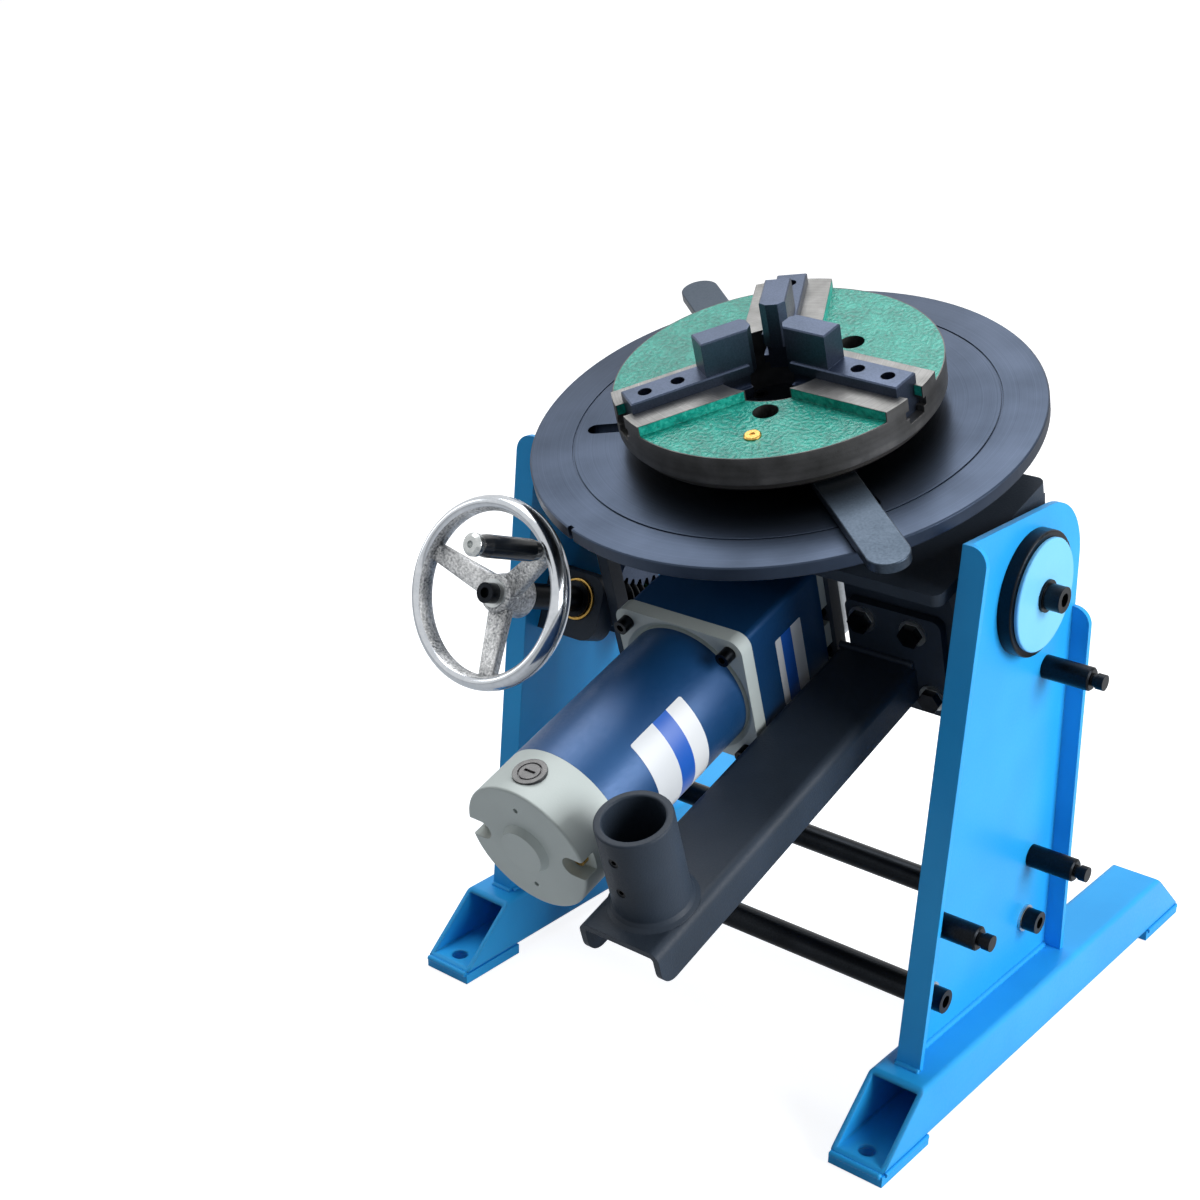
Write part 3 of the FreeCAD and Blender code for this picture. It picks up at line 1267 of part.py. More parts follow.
def scroll_handle(turn):
    """Flat bar with a round end, fixed under the scroll."""
    low = TOP + HANDLE_LOW
    half = HANDLE_W / 2
    bar = box(HANDLE_START, HANDLE_END - half, -half, half, low, low + HANDLE_T)
    bar = bar.fuse(rod(half, HANDLE_T, V(HANDLE_END - half, 0, low), Z)).removeSplitter()
    bar = round_edges(bar, HANDLE_EDGE, lambda e: e.CenterOfMass.z > low + HANDLE_T - 0.1
                      and e.CenterOfMass.x > HANDLE_START + 1)
    return turned_about(bar, V(0, 0, 0), Z, -turn)


def jaw(index):
    """Jaw: gripping block on a T-shaped slide with teeth in the scroll's thread."""
    turn = CHUCK_TURN + 120 * index
    rail = TOP + RAIL_TOP
    crown = TOP + JAW_BLOCK_TOP
    ledge = TOP + JAW_BASE_TOP
    block = box(JAW_IN, JAW_BLOCK_OUT, -JAW_BLOCK_W / 2, JAW_BLOCK_W / 2, rail + RUN, crown)
    tip = JAW_BLOCK_W / 2
    wedge = prism([(JAW_IN - 1, tip + 1, rail), (JAW_IN + tip * 0.57, tip + 1, rail),
                   (JAW_IN - 1, tip * 0.3, rail)], Z * JAW_BLOCK_TOP)
    block = block.cut(wedge).cut(wedge.mirror(V(0, 0, 0), Y))
    block = block.makeChamfer(JAW_EDGE, [e for e in block.Edges if e.CenterOfMass.z > crown - 0.1
                                         and e.CenterOfMass.x > JAW_IN + tip])
    base = box(JAW_BASE_IN, JAW_OUT, -JAW_BASE_W / 2, JAW_BASE_W / 2, rail + RUN, ledge)
    base = base.makeChamfer(JAW_EDGE, [e for e in base.Edges if e.CenterOfMass.z > ledge - 0.1])
    wing_low = TOP + JAW_WING_LOW
    foot = TOP + SCROLL_FACE + THREAD_H + 6 * RUN
    neck = box(JAW_BASE_IN, JAW_OUT, -JAW_NECK / 2, JAW_NECK / 2, foot, rail + 1)
    wing = box(JAW_BASE_IN, JAW_OUT, -JAW_WING / 2, JAW_WING / 2, wing_low, wing_low + JAW_WING_T)
    shape = fused([block, base, neck, wing])
    tooth_low = TOP + SCROLL_FACE + 3 * RUN
    groove = SCROLL_START + SCROLL_PITCH * ((-turn) % 360) / 360.0 + SCROLL_PITCH / 2
    nearest = CHUCK_HUB_R + GAP + JAW_TOOTH_HALF + JAW_IN_TRAVEL
    farthest = SCROLL_SEAT_R - GAP - JAW_TOOTH_HALF - JAW_OUT_TRAVEL
    strip = jaw_slot(tooth_low, foot + 0.5, JAW_TOOTH_W, CHUCK_R)
    for k in range(-2, 4):
        radius = groove + k * SCROLL_PITCH
        if nearest < radius < farthest:
            tooth = ring(radius + JAW_TOOTH_HALF, radius - JAW_TOOTH_HALF,
                         foot + 0.5 - tooth_low, V(0, 0, tooth_low), Z)
            shape = shape.fuse(tooth.common(strip))
    shape = shape.removeSplitter()
    shape = drilled(shape, [V(x, 0, ledge) for x in JAW_HOLES], JAW_HOLE_R, JAW_HOLE_D, Z * -1)
    return turned_about(shape, V(0, 0, 0), Z, -turn)


# ---------------------------------------------------------------- handwheel
def stadium(width, depth, at):
    """Face with half-round ends, its depth along y and its width along x, from its front at 'at'."""
    r = width / 2
    left = at + V(-r, r, 0)
    right = at + V(r, r, 0)
    step = Y * (depth - width)
    front = Part.Arc(left, at, right).toShape()
    rear = Part.Arc(right + step, at + Y * depth, left + step).toShape()
    return Part.Face(Part.Wire([front, Part.makeLine(right, right + step), rear,
                                Part.makeLine(left + step, left)]))


def handwheel():
    """Cast wheel: deep rounded rim with a turned groove, three tapered spokes and a hub."""
    front = -WHEEL_AT
    rim = stadium(RIM_W, RIM_DEPTH, V(WHEEL_R - RIM_W / 2, front, 0)).revolve(V(0, 0, 0), Y, 360)
    rim = rim.cut(ring(WHEEL_R + 1, WHEEL_R - RIM_GROOVE_D, RIM_GROOVE_W,
                       V(0, front + RIM_GROOVE_AT, 0), Y))
    hub_at = V(0, front + HUB_FRONT, 0)
    hub = Part.makeCone(HUB_R - HUB_TAPER / 3, HUB_R + HUB_TAPER * 2 / 3, HUB_L, hub_at, Y)
    inner = HUB_R - SPOKE_SET
    outer = WHEEL_R - RIM_W + 1
    spokes = []
    for k in range(3):
        spoke = prism([(inner, front + HUB_FRONT + SPOKE_SET, -SPOKE_BROAD / 2),
                       (outer, front + SPOKE_SET, -SPOKE_THIN / 2),
                       (outer, front + SPOKE_SET, SPOKE_THIN / 2),
                       (inner, front + HUB_FRONT + SPOKE_SET, SPOKE_BROAD / 2)], Y * SPOKE_T)
        spokes.append(turned_about(spoke, V(0, 0, 0), Y, -(SPOKE_TURN + 120 * k)))
    wheel = fused([rim, hub] + spokes)
    wheel = wheel.cut(rod(WORM_SHAFT_R, HUB_L + 2, hub_at, Y))
    wheel = wheel.fuse(ring(HUB_R - 2, M8_R, HUB_SEAT, hub_at, Y))
    seat = grip_seat() + Y * GRIP_BOSS_L
    wheel = fused([wheel, rod(GRIP_BOSS_R, GRIP_BOSS_L, seat, Y * -1)])
    return wheel.cut(rod(GRIP_BORE, GRIP_BOSS_L + 2, seat + Y, Y * -1))


def hub_fasteners():
    """Washer and M8 screw that hold the wheel on its shaft."""
    at = V(0, HUB_FRONT - WHEEL_AT, 0)
    washer = ring(M8_WASHER_R, M8_R, WASHER_T, at, Y * -1)
    screw = cap_screw(M8_R, M8_HEAD_R, M8_HEAD_H, WASHER_T + HUB_SCREW_HOLD, at + Y * -WASHER_T,
                      Y * -1)
    return [washer, screw]


def grip_seat():
    a = math.radians(SPOKE_TURN)
    return V(GRIP_AT * math.cos(a), -WHEEL_AT - 1, GRIP_AT * math.sin(a))


def grip_stud():
    """Fixed stud inside the turning grip, with its end screw."""
    seat = grip_seat()
    stud = rod(GRIP_BORE, GRIP_BOSS_L + GRIP_L + 1 + GAP, seat + Y * GRIP_BOSS_L, Y * -1)
    end = seat + Y * -(GRIP_L + 1 + GAP)
    head = turned([(0, 0), (GRIP_R, 0), (GRIP_R, GRIP_CAP_T * 0.6), (GRIP_R - 2, GRIP_CAP_T),
                   (0, GRIP_CAP_T)], end, Y * -1)
    slot = rod(GRIP_KEY_R, GRIP_CAP_T, end + Y * (-GRIP_CAP_T / 2), Y * -1)
    return fused([stud, head]).cut(slot)


def grip():
    """Turning sleeve of the handwheel's grip."""
    seat = grip_seat()
    bore = GRIP_BORE + RUN
    return turned([(bore, GAP), (GRIP_R - 2, GAP), (GRIP_R - 1, 2), (GRIP_R, GRIP_CROWN),
                   (GRIP_R, GRIP_L - GRIP_CROWN), (GRIP_R - 1, GRIP_L - 1), (GRIP_R - 2, GRIP_L),
                   (bore, GRIP_L)], seat, Y * -1)


# ---------------------------------------------------------------- the nodes
def cradle_pair(shape):
    return [cradle_place(shape), cradle_place(mirrored(shape))]


keep("foot_beam_right", foot_beam())
keep("foot_beam_left", mirrored(foot_beam()))
pads = [foot_pad(side) for side in (-1, 1)]
keep("foot_pads", pads + [mirrored(pad) for pad in pads])
keep("side_plate_right", side_plate())
keep("side_plate_left", left_side_plate())
keep("tie_rod_front", tie_rod(ROD_FRONT_Y))
keep("tie_rod_rear", tie_rod(ROD_REAR_Y))
keep("tie_rod_fasteners", rod_fasteners())
keep("hanger_posts", [hanger_post(y, z) for y, z in POST_PLACES])
keep("pivot_bushes", [pivot_bush(), mirrored(pivot_bush())])
keep("thrust_washers", [thrust_washer(), mirrored(thrust_washer())])
keep("worm_blocks", [worm_place(worm_block(side)) for side in (-1, 1)])
keep("worm_bushings", [worm_place(worm_bushing(side)) for side in (-1, 1)])
keep("worm_block_screws", [worm_place(screw) for screw in block_screws()])

keep("cradle_deck", cradle_place(deck()))
keep("cheek_right", cradle_place(cheek()))
keep("cheek_left", cradle_place(left_cheek()))
keep("trunnion_pins", cradle_pair(trunnion_pin()))
keep("cap_discs", cradle_pair(cap_disc()))
keep("cap_fasteners", [cradle_place(part) for part in cap_fasteners()])
keep("worm_sector", cradle_place(worm_sector()))
keep("sector_screws", [cradle_place(part) for part in sector_screws()])
keep("bearing_housing", cradle_place(bearing_housing()))
keep("housing_screws", [cradle_place(part) for part in housing_screws()])
keep("bearing_outer_rings", [cradle_place(part) for part in bearing_rings(False)])
keep("adapter_plate", cradle_place(gear_plate(ADAPTER_REAR, ADAPTER_T, ADAPTER_LOW,
                                                 ADAPTER_ROUND)))
keep("mount_plate", cradle_place(mount_plate()))
keep("gearbox_end", cradle_place(gearbox_strip()))
keep("gearbox", cradle_place(gearbox()))
keep("motor_flange", cradle_place(motor_flange()))
keep("motor_barrel", cradle_place(motor_barrel()))
keep("motor_end_cap", cradle_place(motor_end()))
keep("brush_caps", [cradle_place(part) for part in brush_caps()])
keep("motor_through_bolts", [cradle_place(part) for part in through_bolts()])
keep("motor_screws", [cradle_place(part) for part in motor_screws()])
keep("arm_hanger", cradle_place(arm_hanger()))
keep("torch_arm", cradle_place(torch_arm()))
keep("arm_fasteners", [cradle_place(part) for part in arm_fasteners()])
keep("socket_set_screws", [cradle_place(part) for part in set_screws()])
keep("guard_bar", cradle_place(guard_bar()))

keep("turntable", cradle_place(turntable()))
keep("spindle", cradle_place(spindle()))
keep("spindle_fasteners", [cradle_place(part) for part in spindle_fasteners()])
keep("bearing_inner_rings", [cradle_place(part) for part in bearing_rings(True)])
keep("table_gear", cradle_place(table_gear()))
keep("chuck_body", cradle_place(chuck_body()))
keep("chuck_fasteners", [cradle_place(part) for part in chuck_fasteners()])
keep("grease_nipple", cradle_place(grease_nipple()))
keep("output_pinion", cradle_place(output_pinion()))
keep("scroll_plate", cradle_place(scroll_plate()))
keep("scroll_handles", [cradle_place(scroll_handle(HANDLE_TURN + half)) for half in (0, 180)])
for index in range(3):
    keep("jaw_" + str(index + 1), cradle_place(jaw(index)))

keep("handwheel", worm_place(handwheel()))
keep("worm_shaft", worm_place(worm_shaft()))
keep("hub_fasteners", [worm_place(part) for part in hub_fasteners()])
keep("grip_stud", worm_place(grip_stud()))
keep("grip", worm_place(grip()))

os.makedirs("parts", exist_ok=True)
for name, shapes in nodes.items():
    solid = shapes[0] if len(shapes) == 1 else Part.makeCompound(shapes)
    solid.exportStep("parts/" + name + ".step")
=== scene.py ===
import math

import bmesh
import bpy
from mathutils import Matrix, Vector


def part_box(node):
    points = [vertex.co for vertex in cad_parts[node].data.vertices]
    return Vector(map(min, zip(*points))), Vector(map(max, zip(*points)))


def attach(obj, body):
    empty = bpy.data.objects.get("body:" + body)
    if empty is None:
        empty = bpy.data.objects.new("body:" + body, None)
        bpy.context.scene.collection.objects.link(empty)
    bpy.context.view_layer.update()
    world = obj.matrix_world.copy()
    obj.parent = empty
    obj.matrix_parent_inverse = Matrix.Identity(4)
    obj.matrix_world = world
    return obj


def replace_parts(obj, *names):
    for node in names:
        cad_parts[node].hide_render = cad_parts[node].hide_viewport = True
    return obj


# Welding positioner. Metres, +Z up, +X to the right, -Y to the front.
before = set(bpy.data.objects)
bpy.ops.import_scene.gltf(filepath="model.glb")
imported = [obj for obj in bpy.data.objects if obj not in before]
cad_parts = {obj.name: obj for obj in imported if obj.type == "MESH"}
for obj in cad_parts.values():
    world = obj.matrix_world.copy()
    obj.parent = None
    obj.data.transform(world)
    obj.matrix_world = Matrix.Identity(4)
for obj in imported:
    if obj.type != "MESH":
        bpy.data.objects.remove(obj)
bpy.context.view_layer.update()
MM = 0.001

# The cradle's own frame: x across, -y forwards, z along the table axis, from the pivot.
PIVOT = Vector((0, -48, 317.5)) * MM
LEAN = math.radians(19)
cradle = Matrix.Translation(PIVOT) @ Matrix.Rotation(LEAN, 4, "X")
# The worm shaft's frame: -y towards the handwheel, z towards the pivot.
SHAFT_X = -127 * MM
SHAFT_DROP = 77 * MM    # from the pivot axis to the shaft
RISE = math.radians(18.2)
shaft_foot = Vector((SHAFT_X, PIVOT.y - SHAFT_DROP * math.sin(RISE),
                     PIVOT.z - SHAFT_DROP * math.cos(RISE)))
worm = Matrix.Translation(shaft_foot) @ Matrix.Rotation(-RISE, 4, "X")
# The handwheel's frame: z along its shaft towards the hand, 0 at the front of the rim.
WHEEL_AT = 144.7 * MM
wheel = worm @ Matrix.Translation((0, -WHEEL_AT, 0)) @ Matrix.Rotation(math.pi / 2, 4, "X")
MOTOR_Z = -27 * MM
# The motor's frame: z forwards along the motor from the spindle axis, y up, x across.
motor = cradle @ Matrix.Translation((0, 0, MOTOR_Z)) @ Matrix.Rotation(math.pi / 2, 4, "X")
TABLE_TOP = 86.6 * MM


# ---------------------------------------------------------------- camera, floor and lights
def aim(where, aimed, roll=0.0):
    """Matrix that looks from one place at another, turned about the line of sight."""
    look = (aimed - where).to_track_quat("-Z", "Y").to_matrix().to_4x4()
    return Matrix.Translation(where) @ look @ Matrix.Rotation(roll, 4, "Z")


CAMERA_AZ = math.radians(39.0)
CAMERA_EL = math.radians(20.9)
CAMERA_FAR = 1.3951
CAMERA_ROLL = math.radians(1.1)
target = Vector((-0.2101, 0.0097, 0.2010))
away = Vector((math.sin(CAMERA_AZ) * math.cos(CAMERA_EL),
               -math.cos(CAMERA_AZ) * math.cos(CAMERA_EL),
               math.sin(CAMERA_EL)))
camera_data = bpy.data.cameras.new("camera")
camera_data.lens = 56.28
camera_data.sensor_width = 36.0
camera_data.clip_end = 50.0
camera = bpy.data.objects.new("camera", camera_data)
camera.matrix_world = aim(target + away * CAMERA_FAR, target, CAMERA_ROLL)
bpy.context.scene.collection.objects.link(camera)
bpy.context.scene.camera = camera
bpy.context.scene.view_settings.view_transform = "Standard"


def lamp(name, where, aimed, width, height, power):
    """White softbox of a width and height in metres and a power in watts."""
    data = bpy.data.lights.new(name, "AREA")
    data.shape = "RECTANGLE"
    data.size = width
    data.size_y = height
    data.energy = power
    light = bpy.data.objects.new(name, data)
    light.matrix_world = aim(Vector(where), Vector(aimed))
    bpy.context.scene.collection.objects.link(light)


lamp("softbox_right", (2.1, 0.2, 1.0), (0, -0.1, 0.25), 1.3, 1.3, 56)
lamp("softbox_top", (-0.5, 0.4, 2.2), (0, -0.1, 0.3), 1.8, 1.4, 40)
lamp("softbox_left", (-1.9, -0.7, 0.9), (0, -0.1, 0.25), 0.8, 1.1, 5)


# ---------------------------------------------------------------- small tools for materials
def linear(colour):
    """Linear colour from an sRGB hex value."""
    parts = [int(colour[k:k + 2], 16) / 255 for k in (1, 3, 5)]
    return tuple(c / 12.92 if c < 0.04045 else ((c + 0.055) / 1.055) ** 2.4
                 for c in parts) + (1.0,)


def add(tree, kind, feeds=None, **settings):
    """A shader node with its settings; feeds maps its inputs to values or to other outputs."""
    made = tree.nodes.new("ShaderNode" + kind)
    for name, value in settings.items():
        setattr(made, name, value)
    for name, value in (feeds or {}).items():
        if isinstance(value, bpy.types.NodeSocket):
            tree.links.new(value, made.inputs[name])
        else:
            made.inputs[name].default_value = value
    return made


def start(name, **plain):
    """A new material: its tree and its shader, with uniform values on the shader itself."""
    material = bpy.data.materials.new(name)
    material.use_nodes = True
    tree = material.node_tree
    shader = tree.nodes["Principled BSDF"]
    for key, value in plain.items():
        shader.inputs[key.replace("_", " ")].default_value = value
    return material, tree, shader


def place(tree, matrix=None):
    """Object coordinates, in the frame of one of the machine's assemblies."""
    here = add(tree, "TexCoord").outputs["Object"]
    if matrix is None:
        return here
    inverse = matrix.inverted()
    return add(tree, "Mapping", {"Vector": here, "Location": inverse.to_translation(),
                                 "Rotation": inverse.to_euler()}).outputs["Vector"]


def grain(tree, where, size, detail):
    """Noise whose blotches are about a size in millimetres across."""
    return add(tree, "TexNoise", {"Vector": where, "Scale": 1 / (size * MM),
                                  "Detail": detail}).outputs[0]


def steps(tree, value, stops, smooth="LINEAR"):
    """Colour ramp from (position, colour or level) stops."""
    ramp = add(tree, "ValToRGB", {"Fac": value})
    ramp.color_ramp.interpolation = smooth
    for k, (at, colour) in enumerate(stops):
        point = ramp.color_ramp.elements[k] if k < 2 else ramp.color_ramp.elements.new(at)
        point.position = at
        point.color = linear(colour) if isinstance(colour, str) else (colour, colour, colour, 1)
    return ramp.outputs["Color"]


def mixed(tree, share, first, second):
    """Two colours mixed by a share."""
    return add(tree, "MixRGB", {"Fac": share, "Color1": first, "Color2": second}).outputs[0]


def sums(tree, operation, first, second=0.0):
    """One step of arithmetic on values or on other outputs."""
    return add(tree, "Math", {0: first, 1: second}, operation=operation).outputs[0]


def product(tree, first, *others):
    """Values or other outputs multiplied together."""
    for other in others:
        first = sums(tree, "MULTIPLY", first, other)
    return first


def blended(tree, fine, coarse, share=0.5):
    """Fine and coarse noise added up, the fine one by a share."""
    return sums(tree, "ADD", sums(tree, "MULTIPLY", fine, share),
                sums(tree, "MULTIPLY", coarse, 1 - share))


def from_axis(tree, where):
    """Distance from the z axis of a frame."""
    flat = add(tree, "VectorMath", {0: where, 1: (1, 1, 0)}, operation="MULTIPLY").outputs[0]
    return add(tree, "VectorMath", {0: flat}, operation="LENGTH").outputs["Value"]


def relief(tree, shader, height, depth, soft):
    """Bump of a depth in millimetres over edges softened to a radius in millimetres."""
    edge = add(tree, "Bevel", {"Radius": soft * MM}, samples=4).outputs[0]
    bump = add(tree, "Bump", {"Height": height, "Distance": depth * MM, "Normal": edge})
    tree.links.new(bump.outputs[0], shader.inputs["Normal"])


def paint(name, colour, dark, rough, texture, depth, coat=0.0, metal=0.0, soft=0.6, sheen=0.2):
    """A coat of paint or powder: slight blotches in colour and gloss over a fine texture."""
    material, tree, shader = start(name, Metallic=metal, Coat_Weight=coat, Coat_Roughness=0.25,
                                   Specular_IOR_Level=sheen)
    here = place(tree)
    blotch = grain(tree, here, 60, 3)
    tree.links.new(steps(tree, blotch, [(0.3, dark), (0.7, colour)]), shader.inputs["Base Color"])
    fine = grain(tree, here, texture, 3)
    tree.links.new(steps(tree, fine, [(0.25, rough - 0.07), (0.75, rough + 0.07)]),
                   shader.inputs["Roughness"])
    relief(tree, shader, fine, depth, soft)
    return material


def turned_metal(name, colour, dark, rough, frame_of, feed, depth):
    """Metal turned on a lathe: rings about the axis of a frame, and faint stains."""
    material, tree, shader = start(name, Metallic=1.0, Anisotropic=0.6)
    here = place(tree, frame_of)
    across = add(tree, "CombineXYZ", {"X": from_axis(tree, here)}).outputs[0]
    rings = grain(tree, across, feed, 4)
    blend = blended(tree, rings, grain(tree, here, 45, 4), 0.45)
    tree.links.new(steps(tree, blend, [(0.35, dark), (0.65, colour)]), shader.inputs["Base Color"])
    tree.links.new(steps(tree, blend, [(0.3, rough + 0.08), (0.7, rough - 0.06)]),
                   shader.inputs["Roughness"])
    # the light fans out across the rings
    arm = add(tree, "VectorMath", {0: place(tree), 1: frame_of.to_translation()},
              operation="SUBTRACT").outputs[0]
    way = frame_of.to_3x3() @ Vector((0, 0, 1))
    round_about = add(tree, "VectorMath", {0: way, 1: arm}, operation="CROSS_PRODUCT").outputs[0]
    turned = add(tree, "VectorTransform", {"Vector": round_about}, vector_type="VECTOR",
                 convert_from="OBJECT", convert_to="WORLD").outputs[0]
    tree.links.new(turned, shader.inputs["Tangent"])
    relief(tree, shader, rings, depth, 0.5)
    return material


def worked_metal(name, colour, dark, rough, texture, depth, metal=1.0):
    """Metal with an even surface: ground, cast, blasted or blackened."""
    material, tree, shader = start(name, Metallic=metal)
    here = place(tree)
    fine = grain(tree, here, texture, 4)
    blend = blended(tree, fine, grain(tree, here, 30, 3))
    tree.links.new(steps(tree, blend, [(0.35, dark), (0.65, colour)]), shader.inputs["Base Color"])
    tree.links.new(steps(tree, blend, [(0.3, rough + 0.07), (0.7, rough - 0.07)]),
                   shader.inputs["Roughness"])
    relief(tree, shader, fine, depth, 0.4)
    return material


# ---------------------------------------------------------------- materials
# powder coat on steel sheet: a faint orange peel of about 1.6 mm and a soft gloss
blue_powder = paint("blue_powder_coat", "#2BA5EA", "#239BE2", 0.38, 1.6, 0.04, 0.04, soft=0.9)
# the same coat over the rounded corners of the tube: a broad highlight along each corner
blue_tube = paint("blue_powder_coated_tube", "#2BA5EA", "#239BE2", 0.34, 1.6, 0.04, 0.1, soft=3.2)
# the cap discs: the same powder coat in a paler blue
light_blue_powder = paint("light_blue_powder_coat", "#79C6F4", "#70BEEF", 0.40, 1.6, 0.04, 0.05)
# black powder coat with a sandy texture, drawn at 1.1 mm so that it shows
black_powder = paint("black_textured_powder_coat", "#303A47", "#27303B", 0.5, 1.1, 0.12)
# smooth stoved enamel of the gearmotor: deep blue with a satin gloss
navy_enamel = paint("navy_motor_enamel", "#194C7E", "#13406F", 0.4, 2.2, 0.03, 0.08, 0.25,
                    sheen=0.36)
# die-cast aluminium under a grey-green lacquer, matt, with a fine grain
grey_casting = paint("grey_lacquered_casting", "#C2CCCB", "#B6C0BF", 0.46, 1.3, 0.06, sheen=0.3)
# phenolic of the brush caps and the grip, moulded, almost smooth: clear highlights
black_moulding = paint("black_phenolic_moulding", "#14181D", "#101317", 0.2, 6.0, 0.004, 0.3,
                       sheen=0.4)
# blued and turned table plate; the lathe's feed marks are drawn at 0.9 mm so that they show
blued_table = turned_metal("blued_turned_steel", "#3C4657", "#2B3442", 0.34, cradle, 0.9, 0.04)
# blued flat bar, a shade lighter than the table
blued_bar = worked_metal("blued_flat_bar", "#404A56", "#313B46", 0.34, 1.5, 0.04)
# blued and ground jaws and sector: a shade lighter than the table, with faint stains
blued_jaw = worked_metal("blued_ground_steel", "#4C566A", "#394251", 0.34, 1.2, 0.04)
# screws, bars, posts, bushes and shaft: nearly black, with a soft sheen on round sides
black_oxide = worked_metal("black_oxide_screw_steel", "#23262A", "#17191C", 0.34, 1.0, 0.03)
# pins, rings and gears that run inside: bare and clean
bright_steel = worked_metal("bright_turned_steel", "#B9BDC1", "#9A9EA2", 0.28, 1.0, 0.03)
# the stud of the grip, plated: brighter than bare steel
zinc_steel = worked_metal("zinc_plated_steel", "#C9CCCB", "#AEB3B4", 0.26, 1.2, 0.03)
# adapter plate: pale, with a fine dull grain drawn at 0.9 mm so that it shows
milled_plate = worked_metal("milled_aluminium_plate", "#C4C8CB", "#A9ADB0", 0.33, 0.9, 0.04)
# bushes, thrust washers, bolt heads and nipple: a warm spot of colour
turned_brass = worked_metal("turned_brass", "#D2AC62", "#B08A45", 0.28, 1.0, 0.03)
# scroll ring: warm grey, ringed by the lathe; the marks are drawn at 1.2 mm
grey_iron = turned_metal("machined_grey_iron", "#66625C", "#4B4843", 0.42, cradle, 1.2, 0.05)
# polished and plated rim: it mirrors the room with a little haze
bright_chrome = worked_metal("polished_chrome_plate", "#CCD0D5", "#BCC1C7", 0.17, 4.0, 0.01)
# sand-cast spokes, shot-blasted bright; the grains are drawn at 1.6 mm so that they show
sand_cast = worked_metal("sand_cast_aluminium", "#F2F3F4", "#5E6266", 0.42, 1.6, 0.7, 0.8)


# levels and radii of the chuck, which part its paint from its bare iron
POCKET_FLOOR = TABLE_TOP + 33.1 * MM
RAIL_FACE = TABLE_TOP + 39.2 * MM
TURNED_EDGE = 99.0 * MM
TURNED_BORE = 38.6 * MM


def chuck_iron():
    """Cast-iron chuck: turned and ground where it is bare, green hammer paint in its pockets."""
    material, tree, shader = start("hammer_painted_chuck_iron", Specular_IOR_Level=0.35)
    here = place(tree, cradle)
    height = add(tree, "SeparateXYZ", {0: here}).outputs["Z"]
    radius = from_axis(tree, here)
    normal = add(tree, "VectorTransform", {"Vector": add(tree, "NewGeometry").outputs["Normal"]},
                 vector_type="NORMAL", convert_from="WORLD", convert_to="OBJECT").outputs[0]
    along = tuple((cradle.to_3x3() @ Vector((0, 0, 1))).normalized())
    facing = add(tree, "VectorMath", {0: normal, 1: along},
                 operation="DOT_PRODUCT").outputs["Value"]
    # the pocket floors, and the walls of the rails above them, are painted
    rail_top = sums(tree, "GREATER_THAN", height, RAIL_FACE)
    painted = product(tree, sums(tree, "GREATER_THAN", height, POCKET_FLOOR - 0.2 * MM),
                      sums(tree, "LESS_THAN", radius, TURNED_EDGE),
                      sums(tree, "GREATER_THAN", radius, TURNED_BORE),
                      sums(tree, "SUBTRACT", 1.0, rail_top))
    ripple = grain(tree, here, 2.6, 3)
    fine = grain(tree, here, 0.8, 3)
    blotch = grain(tree, here, 14, 4)
    green = steps(tree, blended(tree, ripple, blotch, 0.6),
                  [(0.3, "#03635A"), (0.5, "#0B9283"), (0.72, "#38BCAA")])
    # the lathe's marks run round the axis and hardly change with the height; they are
    # drawn at 0.9 mm so that they show
    round_marks = {"X": radius, "Y": sums(tree, "MULTIPLY", height, 0.1)}
    marks = grain(tree, add(tree, "CombineXYZ", round_marks).outputs[0], 0.9, 4)
    worn = blended(tree, marks, blotch)
    rough_iron = steps(tree, worn, [(0.3, "#3B3B3A"), (0.55, "#575757"), (0.75, "#727170")])
    ground_iron = steps(tree, worn, [(0.3, "#585857"), (0.55, "#767675"), (0.75, "#979796")])
    # the rails' tops are ground, so they are paler
    upward = sums(tree, "GREATER_THAN", facing, 0.9)
    rails = sums(tree, "MULTIPLY", upward, rail_top)
    iron = mixed(tree, rails, rough_iron, ground_iron)
    tree.links.new(mixed(tree, painted, iron, green), shader.inputs["Base Color"])
    # the paint isn't metallic and is glossier than the iron
    tree.links.new(sums(tree, "SUBTRACT", 0.85, sums(tree, "MULTIPLY", painted, 0.85)),
                   shader.inputs["Metallic"])
    tree.links.new(sums(tree, "SUBTRACT", 0.44, sums(tree, "MULTIPLY", painted, 0.16)),
                   shader.inputs["Roughness"])
    high = sums(tree, "ADD", sums(tree, "MULTIPLY", painted, ripple),
                product(tree, sums(tree, "ADD", marks, fine), 0.08,
                        sums(tree, "SUBTRACT", 1.0, painted)))
    relief(tree, shader, high, 0.9, 0.6)
    return material


hammer_chuck = chuck_iron()


def washer_and_screw(name, frame_of, axis, near, far):
    """Black oxide screws with zinc washers: the washers lie between two stations on an axis."""
    material, tree, shader = start(name, Metallic=1.0, Roughness=0.34)
    along = add(tree, "SeparateXYZ", {0: place(tree, frame_of)}).outputs[axis]
    if axis == "X":     # the same on the left and on the right
        along = sums(tree, "ABSOLUTE", along)
    washer = sums(tree, "MULTIPLY", sums(tree, "GREATER_THAN", along, near * MM),
                  sums(tree, "LESS_THAN", along, far * MM))
    stain = grain(tree, place(tree), 8, 3)
    black = steps(tree, stain, [(0.3, "#181A1E"), (0.7, "#25282D")])
    zinc = steps(tree, stain, [(0.3, "#AEB4B6"), (0.7, "#CED2D2")])
    tree.links.new(mixed(tree, washer, black, zinc), shader.inputs["Base Color"])
    return material


